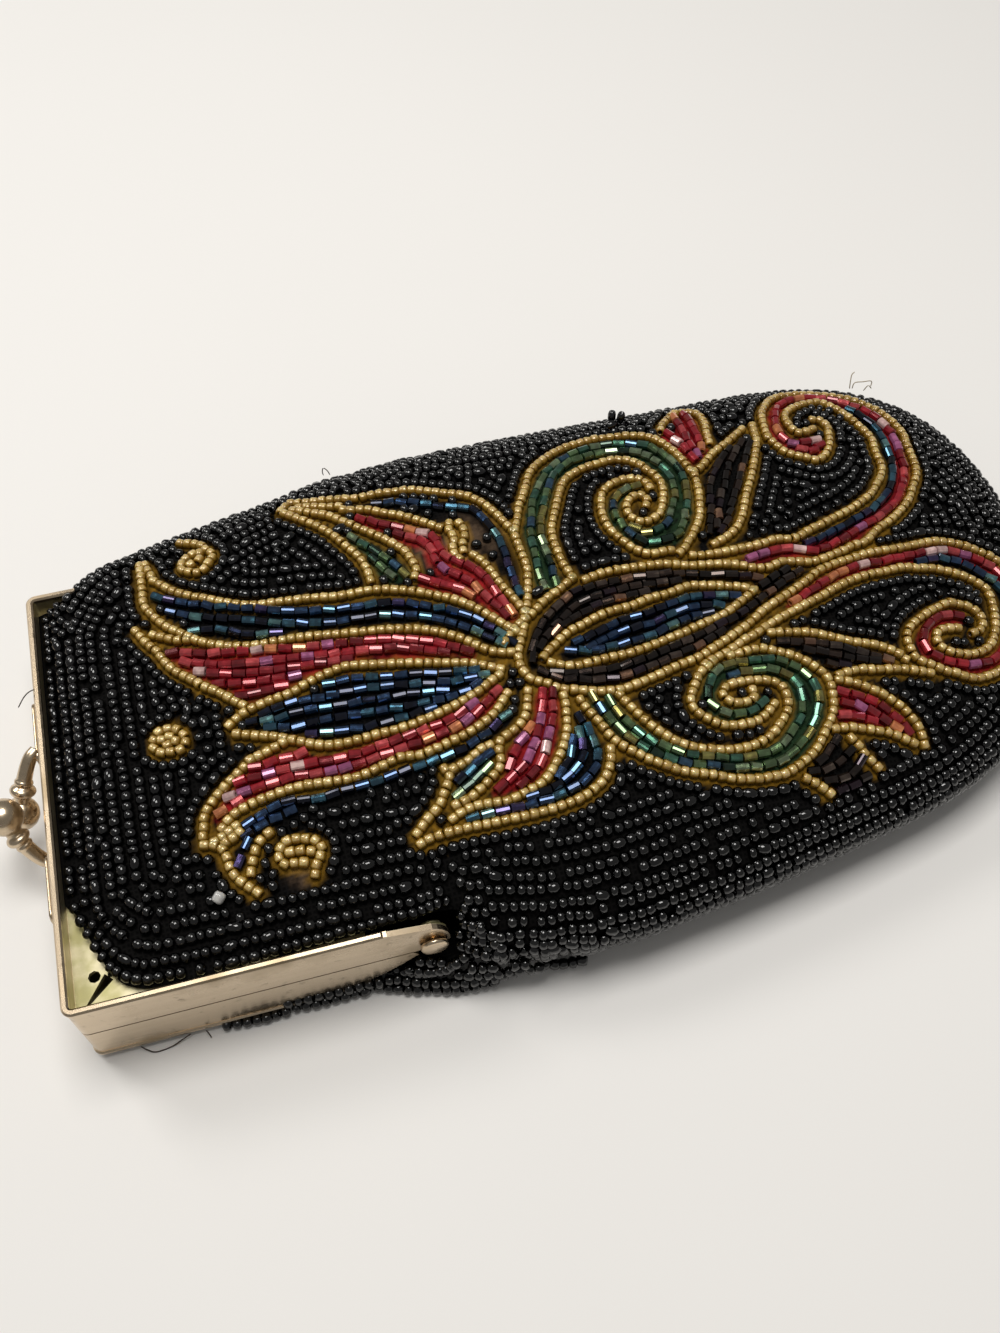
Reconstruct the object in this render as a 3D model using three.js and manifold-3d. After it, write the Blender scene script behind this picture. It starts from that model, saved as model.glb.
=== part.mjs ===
// A beaded coin purse lying on its back: two beaded cloth panels sewn into a pouch, a metal
// frame in two hinged halves along the mouth, and a kiss-lock clasp of two balls on bent stems.
// Millimetres, +Z up. While it is built, x runs from the frame's bar (x = 0) to the pouch's
// round end, y across the frame from the near arm to the far arm, and z up from the table.
import * as THREE from "three";
import { mergeVertices } from "three/addons/utils/BufferGeometryUtils.js";
import Module from "manifold-3d";

const wasm = await Module();
wasm.setup();

// Driving dimensions of the frame
const FRAME_WIDTH = 76;
const FRAME_BOTTOM = 1.3;
const HALF_DEPTH = 9.25;
const GAP = 0.3;
const WALL = 0.9;
const RIM_LENGTH = 46.5;
const RIM_HEIGHT = 1.0;
const RIM_PROUD = 0.25;
const RIM_BEVEL = 0.3;
const FLANGE_DROP = 4.4;
const FLANGE_THICK = 0.8;
const FLANGE_WIDTH = 5.5;
const FLANGE_LENGTH = 44;
const CORNER_RADIUS = 1.4;
const CORNER_SIDES = 4;
const OUTLINE_SIDES = 6;

// Hinge: rivet centre on the arm, and the ears it goes through
const RIVET_X = 53.9;
const RIVET_Z = 12.7;
const RIVET_HEAD = 2.05;
const RIVET_TAIL = 1.7;
const RIVET_SHANK = 1.0;
const RIVET_DOME = 0.95;
const RIVET_TAIL_HEIGHT = 0.7;
const RIVET_SIDES = 14;
const EAR_REACH = 2.6;
const EAR_CURVE = 5;
const EAR_SAG = 0.4;
const EAR_SHOULDER = 3.4;
const EAR_DROP = 2;
const RIM_END_RUN = 0.6;
const RIM_END_DROP = 0.8;
const INNER_EAR_RADIUS = 2.4;

// Cloth with its beads sewn on
const CLOTH_THICK = 2.4;
const POUCH_END = 178;
const CAP_START = 132;
const CAP_POWER = 2.9;
const CAP_RISE_POWER = 3;
const FRONT_ARCH = 2.6;
const BACK_ARCH = 4;
const BACK_ROUND = 0.45;
const BACK_FLATNESS = 1.05;
const ACROSS = 26;
const EDGE_CROWDING = 0.8;
const EDGE_STEP = 0.0005;
const NORMAL_STEP = 0.02;

// Clasp
const STEM_RADIUS = 1.05;
const COLLAR_RADIUS = 1.75;
const COLLAR_PLACE = 0.72;
const STRIP_THICK = 0.9;
const BALL_SIDES = 14;
const BALL_RINGS = 9;

const ARM_Y = FRAME_WIDTH / 2;
const PARTING = FRAME_BOTTOM + HALF_DEPTH;
const FRONT_LOW = PARTING + GAP;
const RIM_Z = FRONT_LOW + HALF_DEPTH;
// How far a cutting outline passes the metal it cuts.
const CUT_MARGIN = 5;

// Side outlines at the lower half's hinge end: x along the arm, z from the parting line.
const TAIL = {
  start: { x: 34, z: -10.25 },
  bend: { x: 44, z: -8.05 },
  tip: { x: 51.4, z: -1.2 },
  top: { x: 50.6, z: 0 },
};
const INNER_EAR = {
  heel: { x: 41, z: -5 },
  sole: { x: 49, z: -3.4 },
  top: { x: 41, z: -1 },
  arcFrom: -0.7,
  arcTo: 2.5,
};
const SPACER = [
  { x: 41, z: -5 },
  { x: 46, z: -4.2 },
  { x: 46, z: -1 },
  { x: 41, z: -1 },
];

// The mitre slit and the sewing hole in the flange at the bar's near corner.
const MITRE = { x: 1.6, inset: 1.3, spread: 1.2 };
const SEWING_HOLE = { x: 4.0, y: -31.4, radius: 0.95 };

// Turns rows of numbers into objects with named columns.
const table = (columns, rows) =>
  rows.map((row) => Object.fromEntries(columns.map((name, i) => [name, row[i]])));

// Front panel, a row for each section: plan edges, the edges' heights, the crown's height towards
// each edge, and how square each shoulder is (1 is a flat lip on the frame, 0.35 a full roll).
const FRONT_SECTIONS = table(
  ["x", "near", "far", "nearZ", "farZ", "nearCrown", "farCrown", "nearRound", "farRound"],
  [
    [1.4, -19.5, 36.2, 18.4, 18.4, 19.0, 19.0, 1.0, 1.0],
    [5, -29.8, 36.3, 18.4, 20.7, 19.8, 22.2, 1.0, 0.5],
    [8, -34.2, 37.9, 18.4, 20.7, 20.3, 23.8, 1.0, 0.36],
    [12, -35.9, 40.2, 18.4, 20.6, 20.9, 25.0, 1.0, 0.34],
    [20, -36.2, 43.6, 18.4, 18.6, 21.8, 26.0, 0.95, 0.34],
    [32, -36.2, 47.8, 18.4, 15.4, 22.9, 27.0, 0.82, 0.34],
    [45, -36.2, 51.6, 18.4, 12.8, 23.7, 27.7, 0.68, 0.34],
    [54, -36.2, 54.3, 18.2, 11.4, 24.0, 28.0, 0.58, 0.34],
    [57, -36.5, 54.9, 16.6, 11.0, 24.1, 28.1, 0.5, 0.34],
    [58.4, -39.4, 55.1, 12.6, 10.85, 24.1, 28.1, 0.44, 0.34],
    [60.5, -42.6, 55.4, 10.75, 10.75, 24.1, 28.2, 0.42, 0.34],
    [68, -44.4, 56.2, 10.7, 10.7, 24.1, 28.3, 0.4, 0.34],
    [78, -45.4, 56.4, 10.7, 10.7, 23.9, 28.3, 0.4, 0.34],
    [100, -43.2, 56.3, 10.7, 10.7, 23.1, 27.6, 0.4, 0.34],
    [118, -40.4, 56.1, 10.7, 10.7, 22.1, 26.8, 0.4, 0.34],
    [140, -36.0, 56.2, 10.7, 10.7, 20.5, 25.4, 0.4, 0.34],
    [160, -31.0, 56.0, 10.7, 10.7, 19.0, 23.4, 0.4, 0.36],
    [178, -26.0, 54.0, 10.7, 10.7, 18.0, 21.4, 0.4, 0.4],
  ],
);

// Back panel: plan edges, the edges' height and the flat underside's height.
const BACK_SECTIONS = table(
  ["x", "near", "far", "edgeZ", "base"],
  [
    [1.4, -36.2, 36.2, 2.6, 1.9],
    [8, -36.2, 36.2, 2.6, 0.6],
    [20, -36.2, 36.2, 2.6, 0],
    [36, -36.2, 36.2, 2.6, 0],
    [43, -36.6, 36.6, 2.9, 0],
    [50, -40.2, 43.5, 4.8, 0],
    [54, -41.6, 49.0, 7.2, 0],
    [57.6, -42.4, 53.8, 9.9, 0],
    [60.5, -42.8, 55.2, 10.35, 0],
    [68, -44.4, 56.2, 10.4, 0],
    [78, -45.4, 56.4, 10.4, 0],
    [100, -43.2, 56.3, 10.4, 0],
    [118, -40.4, 56.1, 10.4, 0],
    [140, -36.0, 56.2, 10.4, 0],
    [160, -31.0, 56.0, 10.4, 0],
    [178, -26.0, 54.0, 10.4, 0],
  ],
);

// Gathers where the pouch is drawn in beside each hinge: a row for each fold.
const GATHERS = table(
  ["x", "width", "depth"],
  [
    [59.5, 2.6, 1.5],
    [66.5, 2.4, 1.1],
    [73.5, 2.6, 0.8],
    [81, 3.0, 0.5],
  ],
);
const GATHER_REACH = 0.2;

// Where the cloth's sections stand: close together at the torn corner, the hinges and the round end.
const STATION_SPANS = table(
  ["from", "to", "count"],
  [
    [1.4, 12, 4],
    [12, 54, 7],
    [54, 62, 6],
    [62, 84, 6],
    [84, 132, 5],
    [132, 168, 5],
    [168, 178, 4],
  ],
);

// Cubic Hermite curve through one column of a section table. Each slope is the harmonic mean of the
// slopes on its two sides, or level at a peak, so the curve never overshoots its rows.
function column(sections, name, x) {
  const last = sections.length - 1;
  const rate = (i) => (sections[i + 1][name] - sections[i][name]) / (sections[i + 1].x - sections[i].x);
  const slope = (i) => {
    const before = rate(Math.max(i - 1, 0));
    const after = rate(Math.min(i, last - 1));
    return before * after > 0 ? (2 * before * after) / (before + after) : 0;
  };
  const found = sections.findIndex((row) => row.x >= x);
  const i = Math.min(Math.max(found - 1, 0), last - 1);
  const [a, b] = [sections[i], sections[i + 1]];
  const span = b.x - a.x;
  const t = Math.min(Math.max((x - a.x) / span, 0), 1);
  return (
    (2 * t ** 3 - 3 * t ** 2 + 1) * a[name] +
    (t ** 3 - 2 * t ** 2 + t) * span * slope(i) +
    (3 * t ** 2 - 2 * t ** 3) * b[name] +
    (t ** 3 - t ** 2) * span * slope(i + 1)
  );
}

// How much of the width and of the rise is left as the pouch closes to its round end.
function endCap(x) {
  const t = Math.min(Math.max((x - CAP_START) / (POUCH_END - CAP_START), 0), 1);
  const close = (power) => Math.max(1 - t ** power, 0) ** (1 / power);
  return { width: close(CAP_POWER), rise: close(CAP_RISE_POWER) };
}

// Draws the side edges in where a gather crosses them; s is -1 at the near edge and 1 at the far edge.
function gatherPull(x, s) {
  const towardsEdge = Math.max(0, (Math.abs(s) - 1) / GATHER_REACH + 1);
  const folds = GATHERS.map((fold) => fold.depth * Math.exp(-(((x - fold.x) / fold.width) ** 2)));
  return Math.max(...folds) * towardsEdge ** 2;
}

function acrossPouch(sections, x, s) {
  const near = column(sections, "near", x);
  const far = column(sections, "far", x);
  const halfWidth = ((far - near) / 2) * endCap(x).width;
  const edge = (near + far) / 2 + halfWidth * s;
  return edge - Math.sign(s) * gatherPull(x, s) * Math.min(halfWidth, 1);
}

// Outer face of the front panel: a crowned arch that lies flat on the frame's flange at the near
// arm, rolls over the far arm, and drops to the side seam past the hinges.
function frontPoint(x, s) {
  const mix = (s + 1) / 2;
  const at = (name) => column(FRONT_SECTIONS, name, x);
  const between = (near, far) => THREE.MathUtils.lerp(at(near), at(far), mix);
  const edge = between("nearZ", "farZ");
  const rise = (between("nearCrown", "farCrown") - edge) * endCap(x).rise;
  const arch = Math.max(1 - Math.abs(s) ** FRONT_ARCH, 0) ** between("nearRound", "farRound");
  return new THREE.Vector3(x, acrossPouch(FRONT_SECTIONS, x, s), edge + rise * arch);
}

// Outer face of the back panel: rounded sides down to a flat underside.
function backPoint(x, s) {
  const edge = column(BACK_SECTIONS, "edgeZ", x);
  const base = column(BACK_SECTIONS, "base", x);
  const drop = (base - edge) * Math.sqrt(endCap(x).rise) * BACK_FLATNESS;
  const arch = Math.max(1 - Math.abs(s) ** BACK_ARCH, 0) ** BACK_ROUND;
  return new THREE.Vector3(x, acrossPouch(BACK_SECTIONS, x, s), Math.max(edge + drop * arch, base));
}

// A closed wall of cloth under a surface of (x, s): the outer face, the same face moved in along
// its normals, and a band round the edge. The last station is a single point, the pouch's end.
function clothPanel(point, facing) {
  const startX = STATION_SPANS[0].from;
  const stations = STATION_SPANS.flatMap(({ from, to, count }) =>
    Array.from({ length: count }, (_, i) => from + ((to - from) * i) / count),
  );
  const across = Array.from({ length: ACROSS + 1 }, (_, j) => {
    const c = -Math.cos((Math.PI * j) / ACROSS);
    return Math.sign(c) * Math.abs(c) ** EDGE_CROWDING;
  });
  const normalAt = (x, s) => {
    const x0 = Math.max(x - NORMAL_STEP, startX);
    const x1 = Math.min(x + NORMAL_STEP, POUCH_END - NORMAL_STEP);
    const alongX = point(x1, s).sub(point(x0, s));
    const [s0, s1] = s > 0 ? [s - EDGE_STEP, s] : [s, s + EDGE_STEP];
    const alongS = point(x, s1).sub(point(x, s0));
    return alongX.cross(alongS).normalize().multiplyScalar(facing);
  };
  const outer = [];
  const inner = [];
  for (const x of stations) {
    for (const s of across) {
      const p = point(x, s);
      outer.push(p);
      inner.push(p.clone().addScaledVector(normalAt(x, s), -CLOTH_THICK));
    }
  }
  const tip = point(POUCH_END, 0);
  const points = [...outer, tip, ...inner, tip.clone().sub(new THREE.Vector3(CLOTH_THICK, 0, 0))];
  const row = ACROSS + 1;
  const tipIndex = stations.length * row;
  const half = tipIndex + 1;
  const faces = [];
  const quad = (a, b, c, d) => faces.push([a, b, c], [a, c, d]);
  const at = (i, j) => (i === stations.length ? tipIndex : i * row + j);
  for (let i = 0; i < stations.length; i++) {
    for (let j = 0; j < ACROSS; j++) {
      const ring = [at(i, j), at(i + 1, j), at(i + 1, j + 1), at(i, j + 1)];
      quad(...ring);
      quad(...ring.map((k) => k + half).reverse());
    }
    quad(at(i, 0), at(i, 0) + half, at(i + 1, 0) + half, at(i + 1, 0));
    quad(at(i, ACROSS), at(i + 1, ACROSS), at(i + 1, ACROSS) + half, at(i, ACROSS) + half);
  }
  for (let j = 0; j < ACROSS; j++) quad(at(0, j), at(0, j + 1), at(0, j + 1) + half, at(0, j) + half);
  const solid = faces.filter(([a, b, c]) => a !== b && b !== c && a !== c);
  const index = solid.flatMap((face) => (facing > 0 ? face : [...face].reverse()));
  const geometry = new THREE.BufferGeometry();
  const positions = points.flatMap((p) => p.toArray());
  geometry.setAttribute("position", new THREE.Float32BufferAttribute(positions, 3));
  geometry.setIndex(index);
  return geometry;
}

// A three.js geometry as a solid that can be joined and cut, and back again.
function solidOf(geometry) {
  const bare = geometry.clone();
  bare.deleteAttribute("normal");
  bare.deleteAttribute("uv");
  const merged = mergeVertices(bare, 1e-4);
  const mesh = new wasm.Mesh({
    numProp: 3,
    vertProperties: new Float32Array(merged.attributes.position.array),
    triVerts: new Uint32Array(merged.index.array),
  });
  return new wasm.Manifold(mesh);
}

function geometryOf(solid) {
  const mesh = solid.getMesh();
  const geometry = new THREE.BufferGeometry();
  geometry.setAttribute("position", new THREE.Float32BufferAttribute(mesh.vertProperties, 3));
  geometry.setIndex(Array.from(mesh.triVerts));
  return geometry;
}

const joined = (solids) => solids.reduce((all, one) => all.add(one));

// A flat outline in plan, raised from one height to another.
function risen(shape, fromZ, toZ) {
  const options = { depth: toZ - fromZ, bevelEnabled: false, curveSegments: CORNER_SIDES };
  const geometry = new THREE.ExtrudeGeometry(shape, options);
  return solidOf(geometry.translate(0, 0, fromZ));
}

// A side outline in x and z, carried across the frame from one y to another.
function acrossFrame(shape, fromY, toY) {
  const options = { depth: toY - fromY, bevelEnabled: false, curveSegments: OUTLINE_SIDES };
  const geometry = new THREE.ExtrudeGeometry(shape, options);
  return solidOf(geometry.rotateX(Math.PI / 2).translate(0, toY, 0));
}

// The frame's U in plan: bar and two arms, between an outer and an inner inset of its outline.
function uShape(outset, width, length) {
  const half = ARM_Y + outset;
  const inHalf = half - width;
  const r = CORNER_RADIUS + outset;
  const inR = Math.max(r - width, 0.3);
  const shape = new THREE.Shape();
  shape.moveTo(length, -half);
  shape.lineTo(length, -inHalf);
  shape.lineTo(width - outset + inR, -inHalf);
  shape.absarc(width - outset + inR, -inHalf + inR, inR, -Math.PI / 2, Math.PI, true);
  shape.absarc(width - outset + inR, inHalf - inR, inR, Math.PI, Math.PI / 2, true);
  shape.lineTo(length, inHalf);
  shape.lineTo(length, half);
  shape.absarc(r - outset, half - r, r, Math.PI / 2, Math.PI, false);
  shape.absarc(r - outset, -half + r, r, Math.PI, (3 * Math.PI) / 2, false);
  shape.closePath();
  return shape;
}

// Side outline of the upper half: full depth along the rim, then a long ear round the rivet.
function frontSide() {
  const earEnd = RIVET_X + EAR_REACH;
  const shape = new THREE.Shape();
  shape.moveTo(-CUT_MARGIN, FRONT_LOW);
  shape.lineTo(RIVET_X - EAR_CURVE, FRONT_LOW);
  shape.quadraticCurveTo(earEnd, FRONT_LOW - EAR_SAG, earEnd, RIVET_Z + EAR_SAG);
  shape.quadraticCurveTo(earEnd, RIM_Z - EAR_SHOULDER, RIVET_X, RIM_Z - EAR_DROP);
  shape.lineTo(RIM_LENGTH + RIM_END_RUN, RIM_Z - RIM_END_DROP);
  shape.lineTo(RIM_LENGTH, RIM_Z + CUT_MARGIN);
  shape.lineTo(-CUT_MARGIN, RIM_Z + CUT_MARGIN);
  shape.closePath();
  return shape;
}

// Side outline of the lower half: its wall runs out in a long curve under the hinge.
function backSide() {
  const shape = new THREE.Shape();
  shape.moveTo(-CUT_MARGIN, FRAME_BOTTOM - CUT_MARGIN);
  shape.lineTo(TAIL.start.x, FRAME_BOTTOM - CUT_MARGIN);
  shape.lineTo(TAIL.start.x, PARTING + TAIL.start.z);
  shape.quadraticCurveTo(TAIL.bend.x, PARTING + TAIL.bend.z, TAIL.tip.x, PARTING + TAIL.tip.z);
  shape.lineTo(TAIL.top.x, PARTING + TAIL.top.z);
  shape.lineTo(-CUT_MARGIN, PARTING);
  shape.closePath();
  return shape;
}

// The lower half's hinge ear: an inner plate up to the rivet, behind the upper half's wall.
function innerEar() {
  const { heel, sole, top, arcFrom, arcTo } = INNER_EAR;
  const shape = new THREE.Shape();
  shape.moveTo(heel.x, PARTING + heel.z);
  shape.lineTo(sole.x, PARTING + sole.z);
  shape.absarc(RIVET_X, RIVET_Z, INNER_EAR_RADIUS, arcFrom, arcTo, false);
  shape.lineTo(top.x, PARTING + top.z);
  shape.closePath();
  return shape;
}

// The block that holds the inner ear to the arm's wall.
function earSpacer() {
  const [first, ...rest] = SPACER.map(({ x, z }) => [x, PARTING + z]);
  const shape = new THREE.Shape();
  shape.moveTo(...first);
  rest.forEach((corner) => shape.lineTo(...corner));
  shape.closePath();
  return shape;
}

const disc = (x, y, radius) => new THREE.Shape().absarc(x, y, radius, 0, 2 * Math.PI, false);

// The rolled rim: a slightly proud strip with rounded edges along the top of the wall.
function rimStrip(lowZ) {
  const shape = uShape(RIM_PROUD - RIM_BEVEL, WALL + RIM_PROUD - 2 * RIM_BEVEL, RIM_LENGTH - RIM_BEVEL);
  const geometry = new THREE.ExtrudeGeometry(shape, {
    depth: RIM_HEIGHT - 2 * RIM_BEVEL,
    bevelThickness: RIM_BEVEL,
    bevelSize: RIM_BEVEL,
    bevelSegments: 1,
    curveSegments: CORNER_SIDES,
  });
  return solidOf(geometry.translate(0, 0, lowZ + RIM_BEVEL));
}

const throughFrame = (shape) => acrossFrame(shape, -ARM_Y - CUT_MARGIN, ARM_Y + CUT_MARGIN);
const rivetHole = () => throughFrame(disc(RIVET_X, RIVET_Z, RIVET_SHANK + GAP));

// Upper half: wall, rim and inward flange in one piece, with the mitre and the sewing hole that
// show at the near corner of the bar.
function frontHalf() {
  const flangeTop = RIM_Z - FLANGE_DROP;
  const wall = risen(uShape(0, WALL, RIVET_X + EAR_REACH), FRONT_LOW - 1, RIM_Z - RIM_HEIGHT / 2);
  const flange = risen(uShape(-WALL / 2, FLANGE_WIDTH, FLANGE_LENGTH), flangeTop - FLANGE_THICK, flangeTop);
  const body = joined([wall, rimStrip(RIM_Z - RIM_HEIGHT), flange]).intersect(throughFrame(frontSide()));
  const mitre = new THREE.Shape();
  mitre.moveTo(MITRE.x, -ARM_Y + MITRE.inset);
  mitre.lineTo(FLANGE_WIDTH + MITRE.spread, -ARM_Y + FLANGE_WIDTH);
  mitre.lineTo(FLANGE_WIDTH, -ARM_Y + FLANGE_WIDTH + MITRE.spread);
  mitre.closePath();
  const sewingHole = disc(SEWING_HOLE.x, SEWING_HOLE.y, SEWING_HOLE.radius);
  const throughFlange = (shape) => risen(shape, flangeTop - 2 * FLANGE_THICK, flangeTop + FLANGE_THICK);
  const cuts = [mitre, sewingHole].map(throughFlange);
  return cuts.reduce((left, cut) => left.subtract(cut), body).subtract(rivetHole());
}

// Lower half: the same wall, rim and flange the other way up, with an ear inside each arm.
function backHalf() {
  const flangeLow = FRAME_BOTTOM + FLANGE_DROP;
  const wall = risen(uShape(0, WALL, RIVET_X), FRAME_BOTTOM + RIM_HEIGHT / 2, PARTING);
  const flange = risen(uShape(-WALL / 2, FLANGE_WIDTH, TAIL.start.x), flangeLow, flangeLow + FLANGE_THICK);
  const body = joined([wall, rimStrip(FRAME_BOTTOM), flange]).intersect(throughFrame(backSide()));
  const earOuter = ARM_Y - WALL - GAP;
  const ears = [-1, 1].flatMap((side) => {
    const span = (from, to) => [side * from, side * to].sort((a, b) => a - b);
    return [
      acrossFrame(innerEar(), ...span(earOuter - WALL, earOuter)),
      acrossFrame(earSpacer(), ...span(earOuter - WALL / 2, ARM_Y - WALL / 2)),
    ];
  });
  return joined([body, ...ears]).subtract(rivetHole());
}

// A rivet turned about its own axis: domed outer head, shank through both ears, peened tail.
function rivet(side) {
  const outerFace = ARM_Y + GAP;
  const innerFace = ARM_Y - 2 * WALL - 2 * GAP;
  const profile = [
    [0, innerFace - RIVET_TAIL_HEIGHT],
    [RIVET_TAIL * 0.8, innerFace - RIVET_TAIL_HEIGHT],
    [RIVET_TAIL, innerFace - RIVET_TAIL_HEIGHT / 2],
    [RIVET_TAIL, innerFace],
    [RIVET_SHANK, innerFace],
    [RIVET_SHANK, outerFace],
    [RIVET_HEAD, outerFace],
    [RIVET_HEAD, outerFace + RIVET_DOME * 0.45],
    [RIVET_HEAD * 0.8, outerFace + RIVET_DOME * 0.85],
    [0, outerFace + RIVET_DOME],
  ].map(([radius, height]) => new THREE.Vector2(radius, height));
  const geometry = new THREE.LatheGeometry(profile, RIVET_SIDES);
  if (side < 0) geometry.rotateZ(Math.PI);
  return geometryOf(solidOf(geometry.translate(RIVET_X, 0, RIVET_Z)));
}

// One half of the kiss-lock: a strip along the bar's outer face, a bent stem out of it, a collar
// and the ball that snaps past the other half's ball.
function clasp({ strip, stem, ball, ballRadius }) {
  const face = -GAP - RIM_PROUD;
  const plates = strip.map(({ fromY, toY, fromZ, toZ }) => {
    const geometry = new THREE.BoxGeometry(STRIP_THICK, toY - fromY, toZ - fromZ);
    return solidOf(geometry.translate(face - STRIP_THICK / 2, (fromY + toY) / 2, (fromZ + toZ) / 2));
  });
  const path = new THREE.CatmullRomCurve3(stem.map((p) => new THREE.Vector3(...p)));
  const section = new THREE.Shape().absarc(0, 0, STEM_RADIUS, 0, 2 * Math.PI, false);
  const rod = new THREE.ExtrudeGeometry(section, { extrudePath: path, steps: 8, curveSegments: 4 });
  const sphere = (centre, radius) => {
    const geometry = new THREE.SphereGeometry(radius, BALL_SIDES, BALL_RINGS);
    return solidOf(geometry.translate(...centre));
  };
  const collar = path.getPointAt(COLLAR_PLACE).toArray();
  const knobs = [sphere(collar, COLLAR_RADIUS), sphere(ball, ballRadius)];
  return geometryOf(joined([...plates, solidOf(rod), ...knobs]));
}

// The front clasp's strip keeps low between its two end tabs, where the other half's stem passes.
const FRONT_CLASP = {
  strip: [
    { fromY: -22, toY: 17.5, fromZ: FRONT_LOW + 0.6, toZ: FRONT_LOW + 4 },
    { fromY: 6.2, toY: 17.5, fromZ: FRONT_LOW + 0.6, toZ: RIM_Z - 0.3 },
    { fromY: -22, toY: -11, fromZ: FRONT_LOW + 0.6, toZ: RIM_Z - 0.3 },
  ],
  stem: [
    [-1, 8.2, RIM_Z - 1.9],
    [-2.6, 6.6, RIM_Z - 2.4],
    [-4.4, 4, RIM_Z - 5.4],
    [-5.6, 1.9, RIM_Z - 9.8],
  ],
  ball: [-5.6, 1.9, RIM_Z - 9.8],
  ballRadius: 2.7,
};
const BACK_CLASP = {
  strip: [{ fromY: -17.5, toY: 17.5, fromZ: FRAME_BOTTOM + 1, toZ: PARTING - 0.6 }],
  stem: [
    [-1, -6.6, PARTING - 3],
    [-3.6, -6.4, PARTING - 2],
    [-6, -4.2, PARTING + 1.6],
    [-7.4, -1.6, PARTING + 5.4],
  ],
  ball: [-7.4, -1.6, PARTING + 5.6],
  ballRadius: 2.9,
};

const beadedCloth = () => new THREE.MeshStandardMaterial({ color: 0x101013, roughness: 0.35 });
const paleMetal = () => new THREE.MeshStandardMaterial({ color: 0xcbb894, roughness: 0.34, metalness: 1 });

const purse = new THREE.Group();
const addPiece = (name, geometry, material) => {
  const mesh = new THREE.Mesh(geometry, material);
  mesh.name = name;
  purse.add(mesh);
};

addPiece("front_panel", clothPanel(frontPoint, 1), beadedCloth());
addPiece("back_panel", clothPanel(backPoint, -1), beadedCloth());
addPiece("frame_front", geometryOf(frontHalf()), paleMetal());
addPiece("frame_back", geometryOf(backHalf()), paleMetal());
addPiece("hinge_rivet_near", rivet(-1), paleMetal());
addPiece("hinge_rivet_far", rivet(1), paleMetal());
addPiece("clasp_front", clasp(FRONT_CLASP), paleMetal());
addPiece("clasp_back", clasp(BACK_CLASP), paleMetal());

// The finished part stands with its origin at the middle of its footprint, on the table.
const footprint = new THREE.Box3().setFromObject(purse);
const middle = footprint.getCenter(new THREE.Vector3());
purse.position.set(-middle.x, -middle.y, -footprint.min.z);

export default purse;
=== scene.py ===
# %% [markdown]
# # A beaded coin purse
# The purse lies on its back: a cloth pouch covered with glass beads, closed by a pale metal frame
# with a kiss-lock. The frame comes from the CAD model. This lesson makes the cloth, strings every
# bead on it in rows, turns a smoother clasp and rivets, and paints the finishes.

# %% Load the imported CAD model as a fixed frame
import math

import bmesh
import bpy
import numpy as np
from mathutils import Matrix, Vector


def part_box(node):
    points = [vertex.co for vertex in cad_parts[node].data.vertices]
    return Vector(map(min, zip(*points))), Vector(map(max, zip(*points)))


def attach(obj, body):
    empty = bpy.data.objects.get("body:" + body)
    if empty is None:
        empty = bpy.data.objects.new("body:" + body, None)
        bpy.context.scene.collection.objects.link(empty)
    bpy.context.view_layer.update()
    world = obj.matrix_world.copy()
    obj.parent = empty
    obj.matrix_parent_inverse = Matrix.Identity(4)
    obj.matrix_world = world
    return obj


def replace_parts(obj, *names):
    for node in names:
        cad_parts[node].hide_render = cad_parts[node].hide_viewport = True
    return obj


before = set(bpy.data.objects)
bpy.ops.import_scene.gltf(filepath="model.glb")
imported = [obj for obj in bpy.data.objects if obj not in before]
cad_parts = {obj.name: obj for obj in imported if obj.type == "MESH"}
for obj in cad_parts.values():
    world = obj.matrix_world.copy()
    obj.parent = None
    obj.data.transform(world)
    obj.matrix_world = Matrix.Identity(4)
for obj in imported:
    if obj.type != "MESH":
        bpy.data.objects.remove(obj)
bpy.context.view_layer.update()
rng = np.random.default_rng(11)
print("CAD nodes:", sorted(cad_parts))

# %% [markdown]
# ## One drawing for everything
# The pouch and its bead chart are drawn in millimetres from the middle of the frame's bar: x runs
# along the purse to its round end, y across it to the far side, z up from the table. The CAD part
# stands with its origin under its own middle, so one shift, read from the frame's box, joins the
# two. Reading it from the box keeps the drawing right if the part is ever moved.

# %% Shift from the drawing to the part
RIM_PROUD = 0.25
RIM_Z = 20.1
frame_low, frame_high = (np.array(corner) * 1000 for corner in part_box("frame_front"))
SHIFT = np.array([frame_low[0] + RIM_PROUD, (frame_low[1] + frame_high[1]) / 2, frame_high[2] - RIM_Z])
print("drawing to part, mm:", SHIFT.round(3))


def to_part(points):
    """Drawing millimetres to the part's metres: add the shift and divide by a thousand."""
    return (np.asarray(points, float) + SHIFT) / 1000


# %% [markdown]
# ## Camera
# The photograph looks down steeply from the near side. The frame's rim is a true rectangle, so its
# corners in the picture give the angle (57 degrees above the table, turned 15 degrees) and the
# distance. A camera object with that pose and the matching lens is all that is needed.

# %% Camera at the photograph's angle
CAMERA_PLACE = (44.8, -110.85, 201.9)
CAMERA_DOWN = 57.0
CAMERA_TURN = -15.0
FOCAL_PIXELS = 1300
PHOTO_WIDTH = 1000
camera = bpy.data.objects.new("camera", bpy.data.cameras.new("camera"))
camera.data.sensor_fit = "HORIZONTAL"
camera.data.sensor_width = 36
camera.data.lens = 36 * FOCAL_PIXELS / PHOTO_WIDTH
camera.data.clip_start = 0.005
camera.location = to_part(CAMERA_PLACE)
camera.rotation_euler = (math.radians(90 - CAMERA_DOWN), 0, math.radians(CAMERA_TURN))
bpy.context.collection.objects.link(camera)
bpy.context.scene.camera = camera
print("lens, mm:", round(camera.data.lens, 1))

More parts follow.
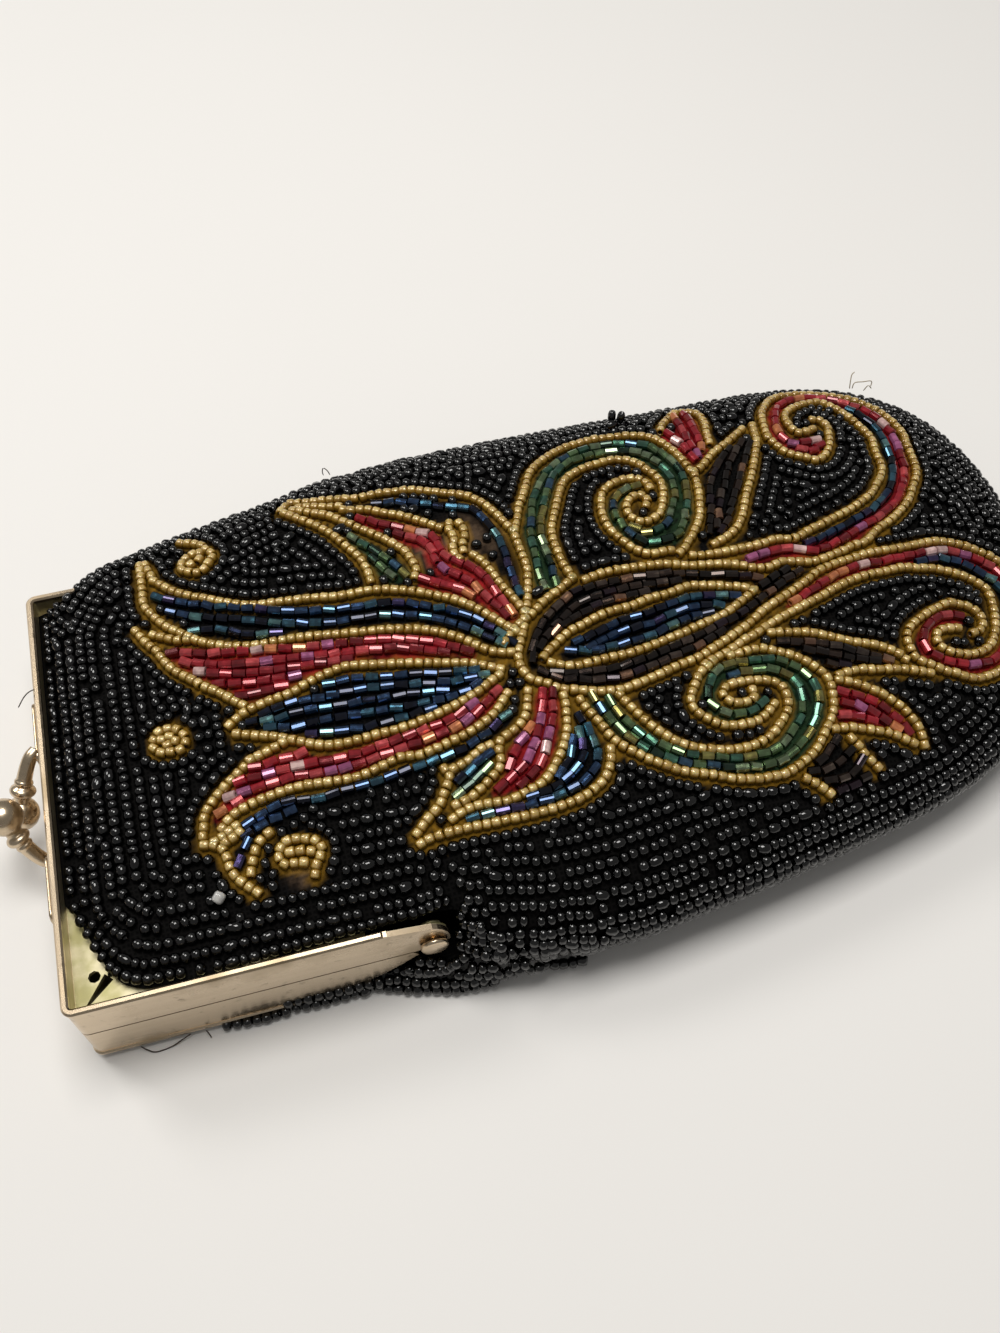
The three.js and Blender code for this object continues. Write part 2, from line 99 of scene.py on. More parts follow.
# %% [markdown]
# ## Shader maths
# Finishes are sums and products of patterns, so a socket should add and multiply like a number.
# This small class wraps a socket: an operator adds a Math node, and `node` adds any other node from
# its type, its settings and its socket values. Writing expressions keeps each finish readable.


# %% A socket that works like a number
class Pattern:
    def __init__(self, tree, socket=None):
        self.tree = tree
        self.socket = socket

    def node(self, kind, settings=None, sockets=None, out=0):
        """Adds one node: settings first, then each socket's value or link, and returns an output."""
        made = self.tree.nodes.new(kind)
        for name, value in (settings or {}).items():
            setattr(made, name, value)
        for name, value in (sockets or {}).items():
            if isinstance(value, Pattern):
                self.tree.links.new(value.socket, made.inputs[name])
            else:
                made.inputs[name].default_value = value
        return Pattern(self.tree, made.outputs[out])

    def maths(self, operation, first, second=0.0):
        """One Math node on two numbers or patterns."""
        return self.node("ShaderNodeMath", {"operation": operation}, {0: first, 1: second})

    def __add__(self, other):
        return self.maths("ADD", self, other)

    def __radd__(self, other):
        return self.maths("ADD", other, self)

    def __sub__(self, other):
        return self.maths("SUBTRACT", self, other)

    def __rsub__(self, other):
        return self.maths("SUBTRACT", other, self)

    def __mul__(self, other):
        return self.maths("MULTIPLY", self, other)

    def __rmul__(self, other):
        return self.maths("MULTIPLY", other, self)

    def step(self, low, high):
        """0 below low, 1 above high, and a smooth rise between."""
        settings = {"interpolation_type": "SMOOTHSTEP"}
        return self.node("ShaderNodeMapRange", settings, {0: self, 1: low, 2: high})

    def mix(self, first, second):
        """The first colour where this pattern is 0, the second where it is 1."""
        settings = {"data_type": "RGBA"}
        return self.node("ShaderNodeMix", settings, {0: self, 6: first, 7: second}, 2)

    def noise(self, scale, detail=3.0, stretch=(1, 1, 1)):
        """Noise on Object coordinates, with a scale per metre and an optional stretch."""
        place = self.node("ShaderNodeTexCoord", out="Object")
        turned = self.node("ShaderNodeMapping", None, {"Vector": place, "Scale": stretch})
        values = {"Vector": turned, "Scale": scale, "Detail": detail}
        return self.node("ShaderNodeTexNoise", None, values)

    def attribute(self, name, out="Fac"):
        """A number or colour that the mesh holds for each corner."""
        return self.node("ShaderNodeAttribute", {"attribute_name": name}, out=out)

    def bump(self, height, distance, strength=1.0):
        """Raises the surface's shading by a pattern times a distance in metres."""
        values = {"Height": height, "Distance": distance, "Strength": strength}
        return self.node("ShaderNodeBump", None, values)


def finish_named(name):
    """A new material with an empty Principled surface; returns it with a Pattern on its tree."""
    material = bpy.data.materials.new(name)
    material.use_nodes = True
    return material, Pattern(material.node_tree)


def coat(material, **sockets):
    """Sets the sockets of a material's Principled surface; underscores stand for spaces."""
    surface = material.node_tree.nodes["Principled BSDF"]
    for name, value in sockets.items():
        slot = surface.inputs[name.replace("_", " ")]
        if isinstance(value, Pattern):
            material.node_tree.links.new(value.socket, slot)
        else:
            slot.default_value = value
    return material


# %% [markdown]
# ## Floor and light
# The purse lies on a plain white surface in soft daylight. A wide floor, an even pale sky and two
# square lamps, one overhead and one to the far left, give the same gentle shadow and the small
# shine on each bead. The Standard view keeps the colours as bright as the photograph's.

# %% Floor, sky and lamps
CARD_SIZE = 3.0
SKY_STRENGTH = 0.23
PURSE_MIDDLE = (90, 5, 10)
DAYLIGHT = (1.0, 0.98, 0.95)
card, p = finish_named("white_card")
coat(card, Base_Color=p.noise(9).mix((0.86, 0.845, 0.82, 1), (0.88, 0.865, 0.84, 1)), Roughness=0.9)
floor_mesh = bpy.data.meshes.new("floor")
corners = np.array([[-1, -1, 0], [1, -1, 0], [1, 1, 0], [-1, 1, 0]]) * CARD_SIZE / 2
floor_mesh.from_pydata(corners.tolist(), [], [(0, 1, 2, 3)])
floor_mesh.materials.append(card)
floor = bpy.data.objects.new("floor", floor_mesh)
bpy.context.collection.objects.link(floor)

scene = bpy.context.scene
scene.view_settings.view_transform = "Standard"
sky = bpy.data.worlds.new("sky")
scene.world = sky
sky.use_nodes = True
sky.node_tree.nodes["Background"].inputs["Color"].default_value = (1.0, 0.985, 0.96, 1)
sky.node_tree.nodes["Background"].inputs["Strength"].default_value = SKY_STRENGTH


def lamp(name, place, size, watts):
    """A square area lamp at a place in drawing millimetres, turned to face the purse."""
    light = bpy.data.lights.new(name, "AREA")
    light.size = size / 1000
    light.energy = watts
    light.color = DAYLIGHT
    body = bpy.data.objects.new(name, light)
    body.location = to_part(place)
    towards = body.location - type(body.location)(to_part(PURSE_MIDDLE))
    body.rotation_euler = towards.to_track_quat("Z", "Y").to_euler()
    bpy.context.collection.objects.link(body)


lamp("ceiling", (70, 70, 760), 360, 3.75)
lamp("window", (-330, 420, 560), 250, 1.6)

# %% [markdown]
# ## The pouch's shape
# Each panel of the pouch is a crowned arch across the purse that changes along it: it lies flat on
# the frame at the near arm, rolls over the far arm, swells past the hinges and closes in a round
# end. A short table of sections gives its edges and heights, and a smooth curve runs through each
# column. These are the CAD panels' own sections, so beads strung on this surface fill the solids.

# %% Sections of the two panels
POUCH_START = 0.95
POUCH_END = 178.0
CAP_START = 132.0
CAP_POWER = 2.9
CAP_RISE_POWER = 3
FRONT_ARCH = 2.6
BACK_ARCH = 4
BACK_ROUND = 0.45
BACK_FLATNESS = 1.05
# x, near edge, far edge, their heights, crown towards each edge, and how square each shoulder is
FRONT_SECTIONS = np.array([
    [1.4, -19.5, 36.2, 18.4, 18.4, 19.0, 19.0, 1.0, 1.0],
    [5, -29.8, 36.3, 18.4, 20.7, 19.8, 22.2, 1.0, 0.5],
    [8, -34.2, 37.9, 18.4, 20.7, 20.3, 23.8, 1.0, 0.36],
    [12, -35.9, 40.2, 18.4, 20.6, 20.9, 25.0, 1.0, 0.34],
    [20, -36.2, 43.6, 18.4, 18.6, 21.8, 26.0, 0.95, 0.34],
    [32, -36.2, 47.8, 18.4, 15.4, 22.9, 27.0, 0.82, 0.34],
    [45, -36.2, 51.6, 18.4, 12.8, 23.7, 27.7, 0.68, 0.34],
    [54, -36.2, 54.3, 18.2, 11.4, 24.0, 28.0, 0.58, 0.34],
    [57, -36.5, 54.9, 16.6, 11.0, 24.1, 28.1, 0.5, 0.34],
    [58.4, -39.4, 55.1, 12.6, 10.85, 24.1, 28.1, 0.44, 0.34],
    [60.5, -42.6, 55.4, 10.75, 10.75, 24.1, 28.2, 0.42, 0.34],
    [68, -44.4, 56.2, 10.7, 10.7, 24.1, 28.3, 0.4, 0.34],
    [78, -45.4, 56.4, 10.7, 10.7, 23.9, 28.3, 0.4, 0.34],
    [100, -43.2, 56.3, 10.7, 10.7, 23.1, 27.6, 0.4, 0.34],
    [118, -40.4, 56.1, 10.7, 10.7, 22.1, 26.8, 0.4, 0.34],
    [140, -36.0, 56.2, 10.7, 10.7, 20.5, 25.4, 0.4, 0.34],
    [160, -31.0, 56.0, 10.7, 10.7, 19.0, 23.4, 0.4, 0.36],
    [178, -26.0, 54.0, 10.7, 10.7, 18.0, 21.4, 0.4, 0.4],
])
# x, near edge, far edge, the edges' height, the flat underside's height
BACK_SECTIONS = np.array([
    [1.4, -36.2, 36.2, 2.6, 1.9],
    [8, -36.2, 36.2, 2.6, 0.6],
    [20, -36.2, 36.2, 2.6, 0],
    [36, -36.2, 36.2, 2.6, 0],
    [43, -36.6, 36.6, 2.9, 0],
    [50, -40.2, 43.5, 4.8, 0],
    [54, -41.6, 49.0, 7.2, 0],
    [57.6, -42.4, 53.8, 9.9, 0],
    [60.5, -42.8, 55.2, 10.35, 0],
    [68, -44.4, 56.2, 10.4, 0],
    [78, -45.4, 56.4, 10.4, 0],
    [100, -43.2, 56.3, 10.4, 0],
    [118, -40.4, 56.1, 10.4, 0],
    [140, -36.0, 56.2, 10.4, 0],
    [160, -31.0, 56.0, 10.4, 0],
    [178, -26.0, 54.0, 10.4, 0],
])
# The gathers beside each hinge: place along the purse, width, depth
GATHERS = np.array([[59.5, 2.6, 1.5], [66.5, 2.4, 1.1], [73.5, 2.6, 0.8], [81, 3.0, 0.5]])
GATHER_REACH = 0.2
FAR_GATHER = 0.4
print("sections:", len(FRONT_SECTIONS), "front,", len(BACK_SECTIONS), "back")


# %% The panels as functions of two parameters
def through(sections, place, x):
    """A cubic Hermite curve through one column; each slope is the harmonic mean of its two sides."""
    xs, ys = sections[:, 0], sections[:, place]
    rate = np.diff(ys) / np.diff(xs)
    before = np.concatenate([rate[:1], rate])
    after = np.concatenate([rate, rate[-1:]])
    same = before * after > 0
    slope = np.where(same, 2 * before * after / np.where(same, before + after, 1), 0)
    i = np.clip(np.searchsorted(xs, x) - 1, 0, len(xs) - 2)
    span = xs[i + 1] - xs[i]
    t = np.clip((x - xs[i]) / span, 0, 1)
    ends = (2 * t**3 - 3 * t**2 + 1) * ys[i] + (3 * t**2 - 2 * t**3) * ys[i + 1]
    return ends + span * ((t**3 - 2 * t**2 + t) * slope[i] + (t**3 - t**2) * slope[i + 1])


def round_end(x, power):
    """How much is left as the pouch closes: a superellipse from the cap's start to the end."""
    t = np.clip((x - CAP_START) / (POUCH_END - CAP_START), 0, 1)
    return np.clip(1 - t**power, 0, 1) ** (1 / power)


def across(sections, x, s):
    """The width at x times s, from -1 at the near edge to 1 at the far one, less the gathers."""
    near, far = through(sections, 1, x), through(sections, 2, x)
    half = (far - near) / 2 * round_end(x, CAP_POWER)
    fold = np.max([depth * np.exp(-(((x - at) / width) ** 2)) for at, width, depth in GATHERS], axis=0)
    drawn = fold * np.maximum(0, (np.abs(s) - 1) / GATHER_REACH + 1) ** 2
    drawn = np.where(s > 0, FAR_GATHER, -1) * drawn
    return (near + far) / 2 + half * s - drawn * np.minimum(half, 1)


def front_face(x, s):
    """The front: edge height plus a rise times (1 - |s| to the arch) to the shoulder's power."""
    k = (s + 1) / 2
    edge = through(FRONT_SECTIONS, 3, x) * (1 - k) + through(FRONT_SECTIONS, 4, x) * k
    crown = through(FRONT_SECTIONS, 5, x) * (1 - k) + through(FRONT_SECTIONS, 6, x) * k
    shoulder = through(FRONT_SECTIONS, 7, x) * (1 - k) + through(FRONT_SECTIONS, 8, x) * k
    arch = np.clip(1 - np.abs(s) ** FRONT_ARCH, 0, 1) ** shoulder
    z = edge + (crown - edge) * round_end(x, CAP_RISE_POWER) * arch
    return np.stack(np.broadcast_arrays(x, across(FRONT_SECTIONS, x, s), z), -1)


def back_face(x, s):
    """The back: edge height less a drop times (1 - |s| to the arch) to a power, flat underneath."""
    edge, base = through(BACK_SECTIONS, 3, x), through(BACK_SECTIONS, 4, x)
    drop = (base - edge) * np.sqrt(round_end(x, CAP_RISE_POWER)) * BACK_FLATNESS
    z = np.maximum(edge + drop * np.clip(1 - np.abs(s) ** BACK_ARCH, 0, 1) ** BACK_ROUND, base)
    return np.stack(np.broadcast_arrays(x, across(BACK_SECTIONS, x, s), z), -1)


def unit(vectors):
    """Each vector divided by its length."""
    return vectors / np.maximum(np.linalg.norm(vectors, axis=-1, keepdims=True), 1e-9)


STEP_X, STEP_S = 0.02, 0.0005
EDGE_LIMIT = 0.9994


def outward(face, facing, x, s):
    """The unit normal: the step along x crossed with the step along s, turned to the outside."""
    s = np.clip(s, -EDGE_LIMIT, EDGE_LIMIT)
    x = np.clip(x, POUCH_START, POUCH_END - 0.05)
    ahead, behind = np.minimum(x + STEP_X, POUCH_END - 0.01), np.maximum(x - STEP_X, POUCH_START)
    along_x = face(ahead, s) - face(behind, s)
    along_s = face(x, s + STEP_S) - face(x, s - STEP_S)
    return unit(np.cross(along_x, along_s)) * facing


# %% [markdown]
# ## The flat pattern
# Beaders work on cloth stretched flat, row beside row from the edge inwards. So each panel is laid
# out flat first: one direction is the length along its crown, the other the length across it. Rows
# drawn at even distances from the flat outline then keep their spacing on the rounded purse. A UV
# unwrap could do this too, but two running sums are enough for a panel that is nearly a strip.


# %% Lay a panel out flat
TIGHT_X, LAST_X = 166, 177.98
ACROSS, MIDDLE = 161, 80
EDGE_CROWDING = 0.8


def stations(start, middle, end, counts):
    """Places along the purse: evenly to the middle one, then closer together to the end."""
    close = np.linspace(middle, end, counts[1])
    return np.concatenate([np.linspace(start, middle, counts[0]), close[1:]])


def running(points):
    """The length of a line up to each of its points."""
    return np.concatenate([[0], np.cumsum(np.linalg.norm(np.diff(points, axis=0), axis=1))])


class FlatPanel:
    def __init__(self, face, facing):
        self.face = face
        self.facing = facing
        turn = -np.cos(np.linspace(0, np.pi, ACROSS))
        self.x = stations(POUCH_START, TIGHT_X, LAST_X, (240, 90))
        self.s = np.sign(turn) * np.abs(turn) ** EDGE_CROWDING
        grid = face(self.x[:, None], self.s[None, :])
        length = np.linalg.norm(np.diff(grid, axis=1), axis=-1)
        total = np.concatenate([np.zeros((len(grid), 1)), np.cumsum(length, 1)], 1)
        self.v = total - total[:, MIDDLE:MIDDLE + 1]
        self.u = running(grid[:, MIDDLE][:, [0, 2]])
        self.outline = self.edged(self.v[:, 0])
        sides = np.cross(np.diff(grid, axis=0)[:, :-1], np.diff(grid, axis=1)[:-1])
        self.area = np.linalg.norm(sides, axis=-1).sum()
        self.size = (np.ptp(self.v, axis=1).max(), self.u[-1])

    def edged(self, near_edge):
        """The flat outline, anticlockwise from the bar, with a given near edge."""
        near = np.stack([self.u, near_edge], -1)
        far = np.stack([self.u, self.v[:, -1]], -1)[::-1]
        bar = np.stack([np.zeros(ACROSS), self.v[0, ::-1]], -1)[1:]
        return evenly(np.concatenate([near, far, bar]), 0.5)

    def spread(self, x, s):
        """A place on the panel to its flat pattern: interpolate the two running sums."""
        u = np.interp(x, self.x, self.u)
        return np.stack([u, blend_grid(self.v, self.x, self.s, x, s)], -1)

    def fold(self, flat):
        """A place on the flat pattern back to the panel: search along, then across at two stations."""
        x = np.interp(flat[:, 0], self.u, self.x)
        i = np.clip(np.searchsorted(self.x, x) - 1, 0, len(self.x) - 2)
        t = ((x - self.x[i]) / (self.x[i + 1] - self.x[i]))[:, None]
        rows = self.v[i] * (1 - t) + self.v[i + 1] * t
        j = np.clip((rows < flat[:, 1:2]).sum(1) - 1, 0, len(self.s) - 2)
        k = np.arange(len(j))
        low, high = rows[k, j], rows[k, j + 1]
        part = np.clip((flat[:, 1] - low) / np.maximum(high - low, 1e-6), 0, 1)
        return x, self.s[j] * (1 - part) + self.s[j + 1] * part

    def lift(self, x, s):
        """Point and outward normal on the panel."""
        return self.face(x, s), outward(self.face, self.facing, x, s)


def evenly(points, pitch):
    """The same line with points at an even pitch: interpolate on its running length."""
    run = running(points)
    count = max(int(round(run[-1] / pitch)), 1)
    at = np.linspace(0, run[-1], count + 1)
    return np.stack([np.interp(at, run, points[:, k]) for k in range(points.shape[1])], -1)


def blend_grid(grid, xs, ss, x, s):
    """Bilinear interpolation in a grid whose rows stand at xs and columns at ss."""
    i = np.clip(np.searchsorted(xs, x) - 1, 0, len(xs) - 2)
    j = np.clip(np.searchsorted(ss, s) - 1, 0, len(ss) - 2)
    a = np.clip((x - xs[i]) / (xs[i + 1] - xs[i]), 0, 1)
    b = np.clip((s - ss[j]) / (ss[j + 1] - ss[j]), 0, 1)
    low = grid[i, j] * (1 - b) + grid[i, j + 1] * b
    high = grid[i + 1, j] * (1 - b) + grid[i + 1, j + 1] * b
    return low * (1 - a) + high * a


front = FlatPanel(front_face, 1)
back = FlatPanel(back_face, -1)
for word, panel in (("front", front), ("back", back)):
    print(word, "flat size, mm:", np.round(panel.size, 1), "area, mm2:", round(panel.area))

# %% [markdown]
# ## Black ground cloth
# Under the beads is a black cloth with a net that holds the stitches; it shows only in the gaps and
# where beads have come off. It is the panel's surface, let in by the depth of a bead, with a real
# thickness from a Solidify modifier. A fine crossed wave gives the net's threads. Each corner also
# carries how worn the cloth is there and a painted glow: the colour of light that has passed through
# the glass above it.

# %% Net over cloth
BEAD_DEPTH = 1.7
CLOTH_THICK = 0.6
net_cloth, p = finish_named("net_cloth")
wave = {"Vector": p.node("ShaderNodeTexCoord", out="Object"), "Scale": 420.0, "Distortion": 1.5}
warp = p.node("ShaderNodeTexWave", {"bands_direction": "X"}, wave, 1)
weft = p.node("ShaderNodeTexWave", {"bands_direction": "Y"}, wave, 1)
net = p.maths("MAXIMUM", warp, weft)
worn = p.attribute("worn")
plain = net.mix((0.0012, 0.0012, 0.0012, 1), (0.004, 0.0036, 0.0034, 1))
bare = p.noise(420, 4.0).step(0.35, 0.7).mix((0.014, 0.009, 0.006, 1), (0.085, 0.055, 0.034, 1))
# Painted light: the glow attribute adds the colour of light through the red, green and gold glass to the
# cloth's own colour.
painted_glow_cloth = p.node("ShaderNodeMix", {"data_type": "RGBA", "blend_type": "ADD"},
                 {0: 1.0, 6: worn.mix(plain, bare), 7: p.attribute("glow", "Color")}, 2)
coat(net_cloth, Base_Color=painted_glow_cloth, Roughness=0.95 - 0.1 * net, Specular_IOR_Level=0.08)
coat(net_cloth, Normal=p.bump(net, 0.00008))


# %% Meshes from whole arrays
def mesh_piece(name, verts, quads, material, smooth=True, attributes=None):
    """A mesh of four-sided faces from whole arrays, with one number or colour per vertex."""
    mesh = bpy.data.meshes.new(name)
    mesh.vertices.add(len(verts))
    mesh.vertices.foreach_set("co", np.ascontiguousarray(verts, np.float32).ravel())
    mesh.loops.add(quads.size)
    mesh.loops.foreach_set("vertex_index", np.ascontiguousarray(quads, np.int32).ravel())
    mesh.polygons.add(len(quads))
    mesh.polygons.foreach_set("loop_start", np.arange(0, quads.size, 4, dtype=np.int32))
    mesh.polygons.foreach_set("use_smooth", np.full(len(quads), smooth))
    mesh.update(calc_edges=True)
    for key, values in (attributes or {}).items():
        kind, field = ("FLOAT", "value") if np.ndim(values) == 1 else ("FLOAT_COLOR", "color")
        made = mesh.attributes.new(key, kind, "POINT")
        made.data.foreach_set(field, np.ascontiguousarray(values, np.float32).ravel())
    mesh.materials.append(material)
    piece = bpy.data.objects.new(name, mesh)
    bpy.context.collection.objects.link(piece)
    return piece


def grid_quads(rows, columns, close_rows=False, close_columns=False):
    """Corner numbers of a grid's faces, row by row, with either direction closed if asked."""
    i = np.arange(rows if close_rows else rows - 1)
    j = np.arange(columns if close_columns else columns - 1)
    a, b = np.meshgrid(i, j, indexing="ij")
    c, d = (a + 1) % rows, (b + 1) % columns
    corners = [a * columns + b, c * columns + b, c * columns + d, a * columns + d]
    return np.stack(corners, -1).reshape(-1, 4)


def weld(piece, distance=1e-6):
    """Merges the points that meet at a pole or seam, so the surface is closed there."""
    shell = bmesh.new()
    shell.from_mesh(piece.data)
    bmesh.ops.remove_doubles(shell, verts=shell.verts, dist=distance)
    bmesh.ops.recalc_face_normals(shell, faces=shell.faces)
    shell.to_mesh(piece.data)
    shell.free()


# %% Two cloth panels
# Worn places on the front, where the net shows: x, y, radius
WORN = np.array([[75.5, 27.0, 8.0], [68.0, 25.5, 3.5], [36.5, -25.4, 2.4]])


CLOTH_END = 177.6
CLOTH_EDGE = 0.998


def cloth(name, panel, node, rows, every):
    """The panel let in by a bead's depth along its normals, as one grid."""
    x = stations(POUCH_START, TIGHT_X, CLOTH_END, (rows, 24))
    s = np.clip(panel.s[::every], -CLOTH_EDGE, CLOTH_EDGE)
    points, normals = panel.lift(x[:, None], s[None, :])
    inset = points - normals * BEAD_DEPTH
    far = np.linalg.norm(inset[..., None, :2] - WORN[:, :2], axis=-1) / WORN[:, 2]
    bare = np.clip(2 - 2 * far.min(-1), 0, 1).ravel() * (panel.facing > 0)
    quads = grid_quads(*points.shape[:2])
    if panel.facing < 0:
        quads = quads[:, ::-1]
    piece = mesh_piece(name, to_part(inset).reshape(-1, 3), quads, net_cloth, True, {"worn": bare})
    wall = piece.modifiers.new("thickness", "SOLIDIFY")
    wall.thickness = CLOTH_THICK / 1000
    wall.offset = -1
    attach(piece, "root")
    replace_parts(piece, node)
    return piece


cloth_front = cloth("cloth_front", front, "front_panel", 150, 1)
cloth_back = cloth("cloth_back", back, "back_panel", 90, 2)
print("cloth corners:", len(cloth_front.data.vertices), len(cloth_back.data.vertices))

# %% [markdown]
# ## Bead shapes
# Three glass beads cover the purse: round black seed beads, gold ones with a silvered hole, and
# six-sided tubes cut from drawn glass. Each is a short profile turned about its thread, with a real
# hole. Thousands of objects would be slow, so one array of corners is turned, sized and placed for
# all beads at once and becomes one mesh per string of work.


# %% Turned bead profiles
def turned(profile, sides):
    """A closed profile of (along, radius) turned about x: corners, faces, both for unit sizes."""
    angle = 2 * np.pi * np.arange(sides) / sides
    along, radius = np.array(profile, float).T
    ring = np.stack([np.cos(angle), np.sin(angle)], -1)
    x = np.repeat(along[:, None], sides, 1)
    yz = radius[:, None, None] * ring
    corners = np.concatenate([x[..., None], yz], -1).reshape(-1, 3)
    return corners, grid_quads(len(profile), sides, True, True)


ROUND_BEAD = turned([(-0.5, 0.22), (-0.46, 0.36), (-0.2, 0.5), (0.2, 0.5), (0.46, 0.36), (0.5, 0.22)], 8)
BARREL_BEAD = turned([(-0.5, 0.26), (-0.48, 0.4), (-0.28, 0.5), (0.28, 0.5), (0.48, 0.4), (0.5, 0.26)], 10)
PLAIN_BEAD = turned([(-0.5, 0.25), (-0.3, 0.48), (0.3, 0.48), (0.5, 0.25)], 8)
TUBE_BEAD = turned([(-0.5, 0.28), (-0.46, 0.5), (0.46, 0.5), (0.5, 0.28)], 12)
corner_turn = np.tile([-0.20, 0.20], 6) + np.repeat(np.arange(6), 2) * np.pi / 3
hexagon = np.tile(np.stack([np.cos(corner_turn), np.sin(corner_turn)], -1), (4, 1))
TUBE_BEAD[0][:, 1:] = hexagon * np.linalg.norm(TUBE_BEAD[0][:, 1:], axis=1, keepdims=True)
print("faces in a bead:", len(ROUND_BEAD[1]), len(PLAIN_BEAD[1]), len(TUBE_BEAD[1]))


# %% All beads of a string at once
SEAT_DEPTH = 0.575
SEAT_SPREAD = 0.1


def string_beads(name, shape, work, size, material, smooth=True, spread=0.07, tilt=0.12, turn=0.35,
                 colours=None):
    """Every bead of a string: corner = centre + along*length + across*width + up*width, at once."""
    points, along, up = work[:3]
    corners, faces = shape
    count = len(points)
    length = work[3] if len(work) > 3 else np.full(count, size[0])
    length = length * (1 + spread * rng.standard_normal(count).clip(-2, 2))
    width = size[1] * (1 + 0.6 * spread * rng.standard_normal(count).clip(-2, 2))
    along = unit(along + tilt * rng.standard_normal((count, 3)))
    side = unit(np.cross(up, along))
    top = np.cross(along, side)
    roll = rng.uniform(-turn, turn, count)[:, None]
    side, top = side * np.cos(roll) + top * np.sin(roll), top * np.cos(roll) - side * np.sin(roll)
    centre = points - up * (SEAT_DEPTH * size[1] + rng.uniform(0, SEAT_SPREAD, count)[:, None])
    reach = [length[:, None, None], width[:, None, None], width[:, None, None]]
    axes = [along, side, top]
    offsets = sum(corners[None, :, k, None] * reach[k] * axes[k][:, None] for k in range(3))
    verts = centre[:, None, :] + offsets
    quads = faces[None] + len(corners) * np.arange(count)[:, None, None]
    lift = ((verts - centre[:, None]) * up[:, None]).sum(-1) / (width[:, None] / 2)
    values = {"tint": np.repeat(rng.random(count), len(corners)), "lift": lift.ravel()}
    values["end"] = np.tile(2 * np.abs(corners[:, 0]), count)
    if colours is not None:
        values["glass"] = np.repeat(np.concatenate([colours, np.ones((count, 1))], 1), len(corners), 0)
    piece = mesh_piece(name, to_part(verts.reshape(-1, 3)), quads.reshape(-1, 4), material, smooth, values)
    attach(piece, "root")
    print(name, "beads:", count, "triangles:", 2 * len(piece.data.polygons))
    return piece


# %% [markdown]
# ## Glass finishes
# Black glass is nearly black with a soft shine, a little greyer where it is rubbed. The gold beads
# are amber glass round a silvered hole. Their colour follows each corner's height in the bead: a
# pale top, where the silver shows through and a painted highlight stands for the light from above,
# and deep amber round the sides as painted shade. The tubes have a metal-oxide skin whose colour
# shifts from bead to bead. Each bead carries its own number or colour as an attribute, so no two
# neighbours match exactly.

# %% Black, gold and tube glass
jet, p = finish_named("jet_glass")
tint = p.attribute("tint")
rubbed = p.noise(160, 2.0)
worn_glass = tint.step(0.55, 1.0) * rubbed
coat(jet, Base_Color=worn_glass.mix((0.0006, 0.0006, 0.0007, 1), (0.007, 0.0068, 0.0065, 1)))
coat(jet, Roughness=0.02 + 0.1 * tint * rubbed, Specular_IOR_Level=0.68)

gold, p = finish_named("silver_lined_gold")
tint, lift, end = p.attribute("tint"), p.attribute("lift"), p.attribute("end")
# Painted light: the pale silver patch is put only on each bead's top (high lift) as a painted highlight from
# above, and the sides (low lift) get darker amber as painted shade.
deep = tint.mix((0.11, 0.048, 0.003, 1), (0.17, 0.082, 0.006, 1))
amber = tint.mix((0.23, 0.122, 0.008, 1), (0.32, 0.18, 0.017, 1))
silver = tint.mix((0.45, 0.31, 0.10, 1), (0.68, 0.52, 0.23, 1))
body = lift.step(-0.3, 0.85).mix(deep, amber)
silver_lining_and_top_highlight = lift.step(0.62, 0.97) * (1 - end.step(0.6, 0.92))
coat(gold, Base_Color=silver_lining_and_top_highlight.mix(body, silver), Metallic=0.12, Roughness=0.15 + 0.1 * tint)
coat(gold, Coat_Weight=0.5, Coat_Roughness=0.05, Subsurface_Weight=0.5, Subsurface_Scale=0.0006)
coat(gold, Subsurface_Radius=(1.0, 0.6, 0.15))


def tube_glass(name, metal, gloss):
    """Tube glass: the bead's own colour, streaked a little, under a clear coat."""
    material, p = finish_named(name)
    glass = p.attribute("glass", "Color")
    streak = p.noise(900, 2.0, (1, 1, 0.3)).step(0.35, 0.75)
    deep = p.node("ShaderNodeMix", {"data_type": "RGBA", "blend_type": "MULTIPLY"},
                  {0: 0.7, 6: glass, 7: (0.5, 0.4, 0.45, 1)}, 2)
    coat(material, Base_Color=streak.mix(deep, glass), Metallic=metal, Roughness=gloss + 0.1 * streak)
    return coat(material, Coat_Weight=0.65, Coat_Roughness=0.04)


red_glass = tube_glass("red_tube_glass", 0.3, 0.1)
blue_glass = tube_glass("blue_tube_glass", 0.9, 0.12)
green_glass = tube_glass("green_tube_glass", 0.85, 0.13)
brown_glass = tube_glass("brown_tube_glass", 0.85, 0.12)
print("finishes:", [m.name for m in bpy.data.materials])

# %% [markdown]
# ## The chart: gold outlines
# The ornament is a flower in profile with long petals and curling scrolls, a common pattern on
# purses of this kind. Each petal is outlined with one string of gold beads. The chart gives a few
# places along each string, in drawing millimetres, and a smooth curve runs through them.


# %% Curves through charted places
def chart(text):
    """Places written as "x,y x,y ..." to an array."""
    return np.array([place.split(",") for place in text.split()], float)


def smooth_line(places, pitch):
    """A Catmull-Rom curve through the places, then even steps along it."""
    ends = np.concatenate([[2 * places[0] - places[1]], places, [2 * places[-1] - places[-2]]])
    a, b, c, d = ends[:-3, None], ends[1:-2, None], ends[2:-1, None], ends[3:, None]
    t = np.linspace(0, 1, 12, endpoint=False)[None, :, None]
    curve = b + 0.5 * t * (c - a + t * (2 * a - 5 * b + 4 * c - d + t * (3 * (b - c) + d - a)))
    return evenly(np.concatenate([curve.reshape(-1, places.shape[1]), places[-1:]]), pitch)


